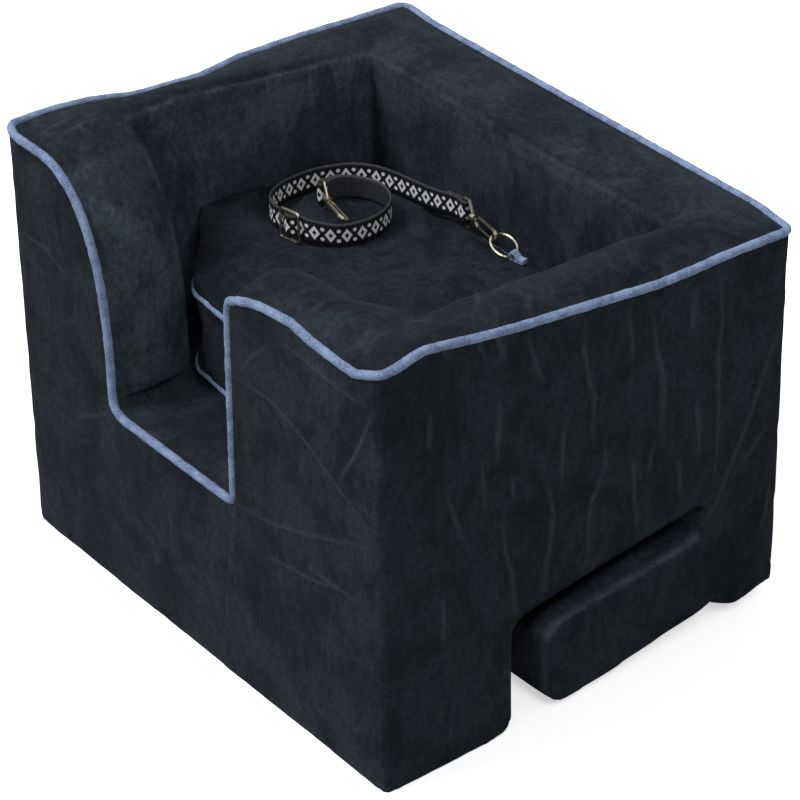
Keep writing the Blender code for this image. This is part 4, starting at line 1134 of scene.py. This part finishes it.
def cornerTucks(points, upright):
    x, y, z = points.T
    corner = np.hypot(seat["halfWidth"] - np.abs(x), seat["halfDepth"] - np.abs(y))
    # one row of noise for each of the four corners
    rows = np.stack([50 * np.sign(x), 150 * np.sign(y), z], axis=1)
    tucks = latticeNoise(rows, welt["tuckScale"], 17)
    hollow = np.exp(-((corner - welt["hollowAt"]) / welt["hollowWidth"]) ** 2)
    ridge = np.exp(-(corner / welt["width"]) ** 2) - welt["hollow"] * hollow
    folds = welt["tucks"] * np.clip(tucks, -0.8, 1) * np.exp(-corner / welt["tuckReach"])
    wearAndHighlight = welt["rubAndHighlight"] * upright * np.clip(0.3 + tucks, 0, 1) * np.exp(-corner / welt["rubbedReach"])
    return np.where(upright, welt["height"] * ridge + folds, 0), wearAndHighlight


postRoll = {
    "reach": 0.050, "past": 0.012, "power": 1.6, "depth": 0.07, "edge": 0.005,
    "fadeRun": (0.10, 0.172), "drop": 0.019,
}


def rollPost(points, names):
    # the back edge of the right post rolls down to the well
    x, y, z = points.T
    top = rimHeight(y)
    post = np.isin(names, ("rightPost", "rightPostLining", "rightRim")) & (x > 0.04)
    roll = np.clip(1 - np.abs(wellFront - y) / postRoll["reach"], 0, 1) ** postRoll["power"]
    roll = roll * post * (y < wellFront + postRoll["past"])
    roll = roll * smoothStep(z, top - postRoll["depth"], top - postRoll["edge"])
    return postRoll["drop"] * roll * (1 - smoothStep(x, *postRoll["fadeRun"]))


# the shelf of the belt channel: its top painted paler for the light that reaches it, with wear and a painted
# highlight along its outer edge, and painted shade in its depth and under the channel's ceiling
shelf = {
    "edgeRun": (0.213, 0.221), "depth": 0.203, "narrowing": 0.007, "narrowRun": (-0.05, 0.11),
    "fade": 0.004, "tone": 1.5, "edgeTone": 0.8, "tipTone": 0.5, "dark": 0.04,
    "ceilingTone": 0.1, "ceilingRun": (0.08, 0.13), "rubAndHighlight": 0.75, "patchScale": 0.009,
}


def paintedLightField(points, normals, names, inner, shade):
    # the painted light and shade at each point, and the wear and painted highlight along the channel's shelf
    x, y, z = points.T
    napAndPaintedLight = np.ones(len(points))
    # painted light and shade, face by face
    for name, value in faceLightTones.items():
        napAndPaintedLight = np.where(names == name, value, napAndPaintedLight)
    # painted light on the inner left wall and the left post's inner side, which the lamps barely reach
    napAndPaintedLight = np.where(inner, wellLightTones["leftWall"], napAndPaintedLight)
    napAndPaintedLight = np.where((names == "leftPost") & (normals[:, 0] > 0.5), wellLightTones["leftPost"], napAndPaintedLight)
    # a painted lit band below the rim on the back wall and the inner left wall
    backWall = (names == "backRim") & (normals[:, 1] < -0.6) & (y < 0.13)
    litBand = wellLightTones["litBand"] + wellLightTones["bandMore"] * smoothStep(z, *wellLightTones["bandRun"])
    napAndPaintedLight = np.where(backWall | inner, napAndPaintedLight * litBand, napAndPaintedLight)
    # painted shade along the sunk lines
    napAndPaintedLight = napAndPaintedLight * (1 - wellLightTones["lines"] * shade)
    # painted light on the shelf's top, paler towards its outer edge, and painted shade in its depth
    outward = smoothStep(np.abs(x), *shelf["edgeRun"])
    tongue = names == "tongueCover"
    level = tongue & (normals[:, 2] > 0.3)
    tip = tongue & (normals[:, 1] < -0.3)
    depth = shelf["depth"] - shelf["narrowing"] * smoothStep(y, *shelf["narrowRun"])
    shown = shelf["dark"] + (1 - shelf["dark"]) * smoothStep(np.abs(x), depth, depth + shelf["fade"])
    napAndPaintedLight = np.where(level, (shelf["tone"] + shelf["edgeTone"] * outward) * shown, napAndPaintedLight)
    # painted shade under the channel's ceiling
    low, high = shelf["ceilingRun"]
    ceiling = ~tongue & (normals[:, 2] < -0.2) & (z > low) & (z < high) & (y > -0.07)
    napAndPaintedLight = np.where(ceiling, shelf["ceilingTone"], napAndPaintedLight)
    # painted highlight on the tongue's tip towards its outer edge
    napAndPaintedLight = np.where(tip, napAndPaintedLight + shelf["tipTone"] * outward, napAndPaintedLight)
    # wear and painted highlight along the shelf's outer edge, in patches
    patches = 0.6 + 0.4 * latticeNoise(points, shelf["patchScale"], 19)
    return napAndPaintedLight, np.where(level | tip, shelf["rubAndHighlight"] * outward * patches, 0)


foot = {
    "heights": (0.004, 0.05), "front": -0.02, "heel": 0.16, "reach": 0.030, "edgeLift": 0.013,
    "edgePower": 1.3, "edgeRun": (0.11, 0.145), "rootLift": 0.009, "rootRise": (0.0, 0.125),
    "rootFall": (0.132, 0.150), "heelLift": 0.007, "heelRun": (0.150, 0.180),
}


def liftFoot(points):
    # the foot and the tongue's root are rounded up towards their outer edges
    x, y, z = points.T
    outer = np.minimum(seat["halfWidth"] - np.abs(x), np.where(y > foot["heel"], seat["halfDepth"] - y, 1.0))
    near = np.clip(1 - outer / foot["reach"], 0, 1)
    lift = foot["edgeLift"] * near ** foot["edgePower"] * smoothStep(y, *foot["edgeRun"])
    lift += foot["rootLift"] * smoothStep(y, *foot["rootRise"]) * (1 - smoothStep(y, *foot["rootFall"]))
    lift += foot["heelLift"] * smoothStep(y, *foot["heelRun"]) * near
    under = (z < foot["heights"][1]) & (y > foot["front"])
    return np.where(under, lift * (1 - smoothStep(z, *foot["heights"])), 0)


zipSlot = {
    "middle": 0.0315, "halfHeight": 0.0110, "halfLength": 0.196, "depth": 0.0115,
    "sideRun": 0.0025, "endRun": 0.003, "calmRun": (0.075, 0.095), "puff": 0.0054,
    "sink": 0.0014,
}


def sinkZip(points, normals, names, move):
    # the back cover lies flat by the zip and has a slot for it
    x, y, z = points.T
    onBack = names == "backCover"
    slot = smoothStep(zipSlot["halfHeight"] - np.abs(z - zipSlot["middle"]), 0, zipSlot["sideRun"])
    slot = slot * smoothStep(zipSlot["halfLength"] - np.abs(x), 0, zipSlot["endRun"])
    byZip = onBack * (1 - smoothStep(z, *zipSlot["calmRun"]))
    most = zipSlot["puff"] * (1 - byZip) - zipSlot["sink"]
    move = np.where(byZip > 0, np.minimum(move, most), move)
    return move, zipSlot["depth"] * slot * onBack * (normals[:, 1] > 0.5)


def dressBody(points, normals, names):
    # where each point of the body goes, its wear and painted highlights, and its painted light and shade
    x, y, z = points.T
    distance, place = seamDistances(points, seamLines())
    away = 1 - np.exp(-distance / drape["puffReach"])
    calm = smoothStep(distance, *drape["calmRun"])
    crown = body["rimCrown"] * rimCrownShare(x, y) * smoothStep(distance, *drape["crownRun"])
    move = np.maximum(body["panelPuff"] * away, np.where(np.isin(names, rimNames), crown, 0))
    move += body["waves"] * away * latticeNoise(points, drape["waveScale"], 3)
    move += body["waves"] * 0.5 * calm * latticeNoise(points, drape["fineScale"], 5)
    move -= body["seamDepth"] * np.exp(-(distance / body["seamWidth"]) ** 2)
    ripples = drape["ripples"] * seamNoise(place, drape["rippleScale"], 7)
    move += ripples * np.exp(-distance / drape["rippleReach"]) * calm
    sides = np.isin(names, ("rightCover", "leftCover"))
    pleats = latticeNoise(points * np.array([1, 1, drape["pleatStretch"]]), drape["pleatScale"], 9)
    move += np.where(sides, drape["pleats"] * pleats * smoothStep(z, *drape["pleatRun"]) * calm, 0)
    frontWaves = drape["frontWaves"] * latticeNoise(points, drape["frontScale"], 13) * away
    move += np.where(names == "frontCover", frontWaves, 0)
    folds, wearAndHighlight = cornerTucks(points, (names != "deckCover") & (z < rimHeight(y) - 0.004))
    move += folds
    inner = (names == "leftRim") & (normals[:, 0] > 0.6) & (x > -0.19)
    bulge = np.interp(y, *zip(*wallBulge)) * smoothStep(z, *wallRise["foot"])
    move += np.where(inner, bulge * (1 - smoothStep(z, *wallRise["head"])), 0)
    move, wearAndHighlight, slide, shade = creaseBody(points, names, move, wearAndHighlight)
    # painted light and shade, and the shelf's wear and painted highlight
    napAndPaintedLight, rubAndHighlight = paintedLightField(points, normals, names, inner, shade)
    move, sunk = sinkZip(points, normals, names, move)
    slide[:, 1] -= sunk
    slide[:, 2] += liftFoot(points) - rollPost(points, names)
    flat = (normals[:, 2] < -0.6) & (z < 0.01) & (y < 0)
    onDeck = (normals[:, 2] > 0.6) & (z < seat["sillHeight"] + 0.01) & (y > wellFront)
    move = np.where(flat | onDeck, 0, move)
    return points + normals * move[:, None] + slide + sway(points), np.maximum(wearAndHighlight, rubAndHighlight), napAndPaintedLight


def zoneNames(centres, normals):
    # which piece of the cover each place belongs to
    x, y, z = centres.T
    nx, ny, nz = normals.T
    edge = seat["rimInset"]
    sill = seat["sillHeight"]
    top = rimHeight(y)
    sideRun = seat["halfWidth"] - np.abs(x)
    endRun = seat["halfDepth"] - np.abs(y)
    frontRun = y + seat["halfDepth"]
    outer = np.minimum(sideRun, endRun)
    names = np.full(len(centres), "deckCover", dtype=object)

    # inside the well and on the rim, by the mitre lines from the outer to the inner corners
    inWell = z > sill - 0.004
    leftHalf = x < walkIn["split"]
    sideShare = sideRun / seat["sideWall"]
    backShare = (seat["halfDepth"] - y) / seat["backWall"]
    frontShare = frontRun / seat["frontWall"]
    rim = np.where(backShare < sideShare, "backRim", np.where(x < 0, "leftRim", "rightRim"))
    posts = np.where(leftHalf, "leftPost", "rightPost")
    rim = np.where(frontShare < np.minimum(sideShare, backShare), posts, rim)
    deck = (nz > 0.75) & (z < sill + 0.006) & (y > wellFront) & (np.abs(x) < wellHalf) & (y < wellBack)
    lining = (ny > 0.7) & (np.abs(y - wellFront) < 0.006) & (z < top - 0.006)
    inWalk = (x > walkIn["left"] - 0.004) & (x < walkIn["right"] + 0.006)
    onSill = (y < wellFront) & (z < sill + 0.012) & inWalk & (frontRun > edge)
    names = np.where(inWell, rim, names)
    names = np.where(inWell & deck, "deckCover", names)
    names = np.where(inWell & lining, np.where(leftHalf, "leftPostLining", "rightPostLining"), names)
    names = np.where(inWell & onSill & (nz > 0.2), "sillCover", names)

    # the outside, by the nearer wall
    bySide = sideRun < endRun
    ends = np.where(y < 0, "frontCover", "backCover")
    wall = np.where(bySide, np.where(x < 0, "leftCover", "rightCover"), ends)
    outward = np.where(bySide, np.sign(x) * nx, np.sign(y) * ny)
    rimEdge = (nz > 0.35) & (z > top - edge - 0.002)
    names = np.where((outer < edge) & (outward > 0.35) & ~rimEdge, wall, names)

    # under the seat
    inChannel = (z < 0.125) & (sideRun > 0.003) & (outward < 0.6) & (outer > 0.002)
    inChannel = inChannel & (y > seat["legBack"] - 0.02) & (y < seat["footFront"] + 0.012)
    middle = np.interp(y, [seat["tongueTip"], seat["slotEnd"]], [0.086, 0.0995])
    onTongue = (y > seat["tongueTip"] - 0.008) & (z < middle)
    names = np.where(inChannel, np.where(onTongue, "tongueCover", "legLining"), names)
    sole = (nz < -0.7) & (z < 0.003) & ((y < seat["legBack"] - 0.012) | (y > seat["footFront"] + 0.006))
    return np.where(sole, np.where(y < 0, "frontSole", "rearSole"), names)


coverNodes = {
    "frontCover": ("front_cover", "front_leg_foam"),
    "leftCover": ("left_side_cover",),
    "rightCover": ("right_side_cover",),
    "backCover": ("back_cover", "rear_riser_foam"),
    "leftRim": ("left_rim_cover", "left_wall_foam"),
    "rightRim": ("right_rim_cover", "right_wall_foam"),
    "backRim": ("back_rim_cover", "back_wall_foam"),
    "leftPost": ("left_post_cover", "left_post_foam"),
    "rightPost": ("right_post_cover", "right_post_foam"),
    "leftPostLining": ("left_post_lining",),
    "rightPostLining": ("right_post_lining",),
    "sillCover": ("sill_cover",),
    "deckCover": ("deck_cover", "deck_foam"),
    "legLining": ("leg_lining",),
    "tongueCover": ("tongue_cover", "tongue_foam"),
    "frontSole": ("front_sole",),
    "rearSole": ("rear_sole",),
}


def makeBody():
    block = bodySolid()
    points, quads = meshArrays(block.data)
    bpy.data.objects.remove(block)
    points = smoothPoints(points, quads, body["softening"])
    normals = vertexNormals(points, quads)
    names = zoneNames(points[quads].mean(axis=1), normals[quads].mean(axis=1))
    points, wearAndHighlight, napAndPaintedLight = dressBody(points, normals, zoneNames(points, normals))
    # the painted light and shade blend softly from face to face
    napAndPaintedLight = smoothPoints(napAndPaintedLight[:, None], quads, 3)[:, 0]
    points[:, 2] = np.maximum(points[:, 2], 0.0)
    after = vertexNormals(points, quads)
    for name, nodes in coverNodes.items():
        piece = shellPiece(name, points, after, quads[names == name], {"wearAndHighlight": wearAndHighlight, "napAndPaintedLight": napAndPaintedLight})
        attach(piece, "seat")
        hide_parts(*nodes)


makeBody()
print("body made")


# Blue piping round the rim and the opening


def pipingMesh(name, path, radius, seed):
    # a closed tube of slightly uneven cord
    sides = piping["sides"]
    along = np.roll(path, -1, axis=0) - np.roll(path, 1, axis=0)
    along /= np.linalg.norm(along, axis=1)[:, None]
    across = np.zeros_like(path)
    current = np.cross(along[0], (0, 0, 1.0))
    for i, run in enumerate(along):
        current = current - run * (current @ run)
        current /= np.linalg.norm(current)
        across[i] = current
    turns = np.linspace(0, 2 * math.pi, sides, endpoint=False)[None, :, None]
    spokes = radius * np.cos(turns) * across[:, None] + radius * np.sin(turns) * np.cross(along, across)[:, None]
    rings = (path[:, None] + spokes).reshape(-1, 3)
    outward = rings - np.repeat(path, sides, axis=0)
    fuzz = latticeNoise(rings, piping["fuzzScale"], seed)[:, None]
    rings = rings + outward / radius * piping["fuzz"] * fuzz
    piece = formObject(name, rings.tolist(), ringFaces(sides, len(path), closed=True), pipingCloth)
    work = bmesh.new()
    work.from_mesh(piece.data)
    bmesh.ops.recalc_face_normals(work, faces=work.faces)
    work.to_mesh(piece.data)
    work.free()
    return piece


def makeRimPiping():
    path = pipingPath()
    piece = pipingMesh("rimPiping", path + sway(path), seat["pipingRadius"], 1)
    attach(piece, "seat")
    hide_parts("rim_piping")


makeRimPiping()
print("piping made")


# Loose cushion

cushion = {
    "voxel": 0.003,
    # the form is lofted over rings: under it as (inset, rise), up its sides, and over its crown
    "bottomRings": ((0.016, 0.0), (0.008, 0.002)),
    "edgeInset": 0.003, "sideRings": 15, "sideInset": 0.0012, "waist": 0.005, "crownInset": 0.004,
    "crownShares": (0.965, 0.94, 0.91, 0.88, 0.84, 0.80, 0.75, 0.7, 0.65, 0.6, 0.5, 0.4, 0.3, 0.2, 0.1, 0.02),
    "clearance": 0.0015, "backClearance": 0.005, "frontRadius": 0.075, "backRadius": 0.030,
    "spacing": 0.006, "frontBulge": 0.006, "bulgeAt": -0.027, "bulgeHalf": 0.077,
    "sideDraw": 0.005, "lowEdge": 0.172, "edgeHeight": 0.240, "crown": 0.016, "crownPower": 16,
    "rearSag": 0.004, "sagHalfWidth": 0.060, "pipingRadius": 0.0024, "base": 0.1634,
    "heldReach": 0.0035, "frames": 20, "mostSwell": 0.006, "wallGap": 0.0008,
    # the cover's waves as (height, scale, seed), its ripples along the piping, and how far from it both start
    "waves": ((0.0012, 0.06, 21), (0.0005, 0.02, 22)), "waveRun": (0.004, 0.03),
    "ripples": 0.0006, "rippleScale": 0.008, "rippleReach": 0.014, "rippleRun": (0.002, 0.006),
    # how far the simulated top may rise: more where it faces sideways, and by the left wall
    "upRun": (0.6, 0.9), "sideRise": 0.02, "freeRun": (0.10, 0.13), "leftFree": 0.01,
    # painted shade: the cushion's cloth is darkened all over for the light that falls on its top
    "napAndPaintedLight": 0.62,
    # the front left corner falls away into the gap beside the post
    "fallFrom": (-0.100, -0.040), "fall": 0.017,
    # the top's height by the left wall, above its full level, and how it leans out there
    "fullLevel": 0.2555,
    "leftRise": [
        (-0.117, 0.003), (-0.085, 0.007), (-0.055, 0.010), (-0.020, 0.009), (0.015, 0.0065), (0.041, 0.005),
        (0.076, 0.003), (0.108, 0.0),
    ],
    "riseRun": (0.120, 0.165), "leftRun": (0.070, 0.110), "backRun": (0.060, 0.100),
    "fullRun": (0.2405, 0.2530), "lean": 0.0065, "leanMore": 1.6, "leanFrom": (-0.095, -0.040),
    "leanReach": 0.030, "leanRun": (0.2410, 0.2480), "leanMoreRun": (-0.085, -0.050),
    "evenRun": (0.2425, 0.2465),
    # how the top gives way under the strap
    "pressReach": 0.02, "pressFrom": 0.006, "pressRise": 0.004, "pressGap": 0.0004,
}


def cushionOutline():
    x = wellHalf - cushion["clearance"]
    front = wellFront + cushion["clearance"]
    back = wellBack - cushion["backClearance"]
    radii = [cushion["frontRadius"]] * 2 + [cushion["backRadius"]] * 2
    line = roundedLine([(*place, radius) for place, radius in zip(corners(-x, x, front, back), radii)], steps=10)
    fallX, fallY = cushion["fallFrom"]
    shaped = []
    for a, b in spacedPoints(line, cushion["spacing"], closed=True).tolist():
        along = np.clip((b - front - 0.07) / (back - front - 0.10), 0, 1)
        drawn = cushion["sideDraw"] * math.sin(math.pi * along) if a > x - 0.004 else 0
        away = abs(a - cushion["bulgeAt"]) / cushion["bulgeHalf"]
        push = cushion["frontBulge"] * math.cos(away * math.pi / 2) ** 2 if b < 0 and away < 1 else 0
        inCorner = a < fallX and b < fallY
        turn = math.atan2(fallY - b, fallX - a) if inCorner else 0
        fall = cushion["fall"] * math.sin(min(2 * turn, math.pi)) if inCorner else 0
        wall = np.interp(b, *zip(*wallBulge)) if a < -0.12 else 0
        a = max(a - drawn + fall * math.cos(turn), wall - wellHalf + cushion["clearance"])
        shaped.append((a, b - push + fall * math.sin(turn)))
    return shaped


cushionLine = cushionOutline()
cushionMiddle = (wellFront + wellBack) / 2


def settled(x, y, z):
    # the cushion sinks a little at the middle of its back
    across = math.exp(-((x / cushion["sagHalfWidth"]) ** 2))
    along = max(y, 0) / wellBack
    share = (z - seat["sillHeight"]) / (cushion["edgeHeight"] - seat["sillHeight"])
    return (x, y, z - cushion["rearSag"] * across * along ** 2 * min(share, 1))


def cushionRing(inset, height, share=1.0):
    middle = cushionMiddle * (1 - share)
    return [settled(x * share, y * share + middle, height) for x, y in offsetLine(cushionLine, inset, closed=True)]


def cushionCrown(share):
    return cushion["edgeHeight"] + cushion["crown"] * (1 - share ** cushion["crownPower"])


def cushionSolid():
    low = cushion["lowEdge"]
    high = cushion["edgeHeight"]
    base = cushion["base"]
    rings = [cushionRing(inset, base + rise) for inset, rise in cushion["bottomRings"]]
    rings.append(cushionRing(cushion["edgeInset"], low - 0.003))
    for level in np.linspace(low, high, cushion["sideRings"]):
        share = (level - low) / (high - low)
        rings.append(cushionRing(cushion["sideInset"] + cushion["waist"] * math.sin(math.pi * share), level))
    rings.append(cushionRing(cushion["edgeInset"], cushionCrown(0.98)))
    for share in cushion["crownShares"]:
        rings.append(cushionRing(cushion["crownInset"], cushionCrown(share), share + 0.02))
    points = [point for ring in rings for point in ring]
    faces = ringFaces(len(rings[0]), len(rings), flipped=True)
    return remeshed(formObject("cushionForm", points, faces, suede), cushion["voxel"])


# the settings of Blender's Cloth
stuffing = {
    "quality": 4,
    "mass": 0.3,
    "tension_stiffness": 12,
    "compression_stiffness": 12,
    "shear_stiffness": 4,
    "bending_stiffness": 0.4,
    "use_pressure": True,
    "uniform_pressure_force": 4,
    "shrink_min": -0.035,
    "vertex_group_mass": "held",
}


def inflate(form, held):
    # swells the closed form like a filled pad while its piped edges hold it
    group = form.vertex_groups.new(name="held")
    group.add([int(i) for i in held], 1.0, "REPLACE")
    step = form.modifiers.new("fill", "CLOTH")
    for key, value in stuffing.items():
        setattr(step.settings, key, value)
    step.settings.effector_weights.gravity = 0
    for frameNumber in range(1, cushion["frames"] + 1):
        bpy.context.scene.frame_set(frameNumber)
    applyModifiers(form)
    bpy.context.scene.frame_set(1)


def pressUnderStrap(points):
    # the top gives way under the lead's lower edge
    line = spacedPoints(strapPath, 0.003)
    tree = KDTree(len(line))
    for i, (x, y, _) in enumerate(line):
        tree.insert((x, y, 0), i)
    tree.balance()
    run = cushion["pressReach"] - cushion["pressFrom"]
    for i, (x, y, z) in enumerate(points):
        if z < cushion["edgeHeight"]:
            continue
        _, index, away = tree.find((x, y, 0))
        if away < cushion["pressReach"]:
            edge = line[index][2] - lead["width"] / 2 - cushion["pressGap"]
            rise = cushion["pressRise"] * max(away - cushion["pressFrom"], 0) / run
            points[i][2] -= max(z - edge - rise, 0)
    return points


def fillOut(points, reach):
    # the top stays full out to the left wall and to the corner beside the post
    x, y, z = points.T
    edge = smoothStep(-x, *cushion["leftRun"]) * (1 - smoothStep(y, *cushion["backRun"]))
    level = cushion["fullLevel"] + np.interp(y, *zip(*cushion["leftRise"])) * smoothStep(-x, *cushion["riseRun"])
    moved = points.copy()
    moved[:, 2] += np.maximum(level - z, 0) * edge * smoothStep(z, *cushion["fullRun"])
    # and leans out over its piping there
    line = np.array(cushionLine)
    gaps = np.linalg.norm(points[:, None, :2] - line[None, ::3], axis=2).min(axis=1)
    lean = reach * edge * smoothStep(z, *cushion["leanRun"]) * np.clip(1 - gaps / cushion["leanReach"], 0, 1)
    outward = np.stack([x - cushion["leanFrom"][0], y - cushion["leanFrom"][1]], axis=1)
    outward[:, 1] = np.minimum(outward[:, 1], 0)
    outward /= np.linalg.norm(outward, axis=1)[:, None] + 1e-9
    moved[:, :2] += outward * lean[:, None] * (x < -0.06)[:, None]
    return moved


def swollen(form, start, held):
    # the pad after the simulation, with no point moved too far
    inflate(form, held)
    swell = meshArrays(form.data)[0] - start
    bpy.data.objects.remove(form)
    length = np.linalg.norm(swell, axis=1)
    print("cushion swells by", round(length.max() * 1000, 1), "mm, mean", round(length.mean() * 1000, 2))
    return start + swell * (np.minimum(length, cushion["mostSwell"]) / np.maximum(length, 1e-9))[:, None]


def dressCushion(points, quads, start, distance, place, onFloor):
    # waves and seam ripples, then the full left side, kept inside the well
    normals = vertexNormals(points, quads)
    waves = sum(height * latticeNoise(points, scale, seed) for height, scale, seed in cushion["waves"])
    move = smoothStep(distance, *cushion["waveRun"]) * waves
    ripples = cushion["ripples"] * seamNoise(place, cushion["rippleScale"], 23)
    move += ripples * np.exp(-distance / cushion["rippleReach"]) * smoothStep(distance, *cushion["rippleRun"])
    move = np.where(onFloor, 0, move)
    points = points + normals * move[:, None]
    lean = cushion["leanMore"] * cushion["lean"] * smoothStep(points[:, 1], *cushion["leanMoreRun"])
    points = fillOut(points, lean)
    even = smoothStep(-points[:, 0], *cushion["leftRun"]) * smoothStep(points[:, 2], *cushion["evenRun"])
    points = points + (smoothPoints(points, quads, 5) - points) * even[:, None]
    gap = cushion["wallGap"]
    left = np.interp(points[:, 1], *zip(*wallBulge)) - wellHalf + gap
    inside = points[:, 1] > wellFront + 0.002
    points[:, 0] = np.where(inside, np.clip(points[:, 0], left, wellHalf - gap), points[:, 0])
    points[:, 1] = np.minimum(points[:, 1], wellBack - 0.001)
    # what faces up keeps its height, so that the strap still lies on it
    sideways = 1 - smoothStep(normals[:, 2], *cushion["upRun"])
    toLeft = smoothStep(-points[:, 0], *cushion["freeRun"])
    most = start[:, 2] + gap + cushion["sideRise"] * sideways + cushion["leftFree"] * toLeft
    points[:, 2] = np.minimum(points[:, 2], most)
    return pressUnderStrap(points)


def makeCushion():
    form = cushionSolid()
    start, quads = meshArrays(form.data)
    start = smoothPoints(start, quads, 3)
    lines = []
    for height in (cushion["lowEdge"], cushion["edgeHeight"]):
        ring = cushionRing(cushion["pipingRadius"], height)
        lines.append(ring + ring[:1])
    distance, place = seamDistances(start, lines)
    start = fillOut(start, cushion["lean"])
    setPoints(form.data, start)
    onFloor = start[:, 2] < cushion["base"] + 0.004
    points = swollen(form, start, np.flatnonzero((distance < cushion["heldReach"]) | onFloor))
    points = dressCushion(points, quads, start, distance, place, onFloor)
    after = vertexNormals(points, quads)
    centres = start[quads].mean(axis=1)
    heights = centres[:, 2]
    sag = np.exp(-((centres[:, 0] / cushion["sagHalfWidth"]) ** 2)) * (np.maximum(centres[:, 1], 0) / wellBack) ** 2
    upper = heights > cushion["edgeHeight"] - cushion["rearSag"] * sag
    lower = heights < cushion["lowEdge"]
    parts = {
        "cushionTop": (upper, ("cushion_top", "cushion_foam")),
        "cushionBottom": (lower, ("cushion_bottom",)),
        "cushionBoxing": (~upper & ~lower, ("cushion_boxing",)),
    }
    # no wear or painted highlight on the cushion, and its painted shade all over
    marks = {"wearAndHighlight": np.zeros(len(points)), "napAndPaintedLight": np.full(len(points), cushion["napAndPaintedLight"])}
    for name, (chosen, nodes) in parts.items():
        piece = shellPiece(name, points, after, quads[chosen], marks)
        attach(piece, "cushion")
        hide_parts(*nodes)
        name == "cushionTop"
    for name, node, height in (
        ("cushionTopPiping", "cushion_top_piping", cushion["edgeHeight"]),
        ("cushionBottomPiping", "cushion_bottom_piping", cushion["lowEdge"]),
    ):
        path = spacedPoints(cushionRing(cushion["pipingRadius"], height), piping["step"], closed=True)
        piece = pipingMesh(name, path, cushion["pipingRadius"], 4)
        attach(piece, "cushion")
        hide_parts(node)


makeCushion()
print("cushion made")


for name in ("zip_tape", "zip_chain", "zip_slider", "zip_pull"):
    paint(name, zipMetal)
print("zip made")
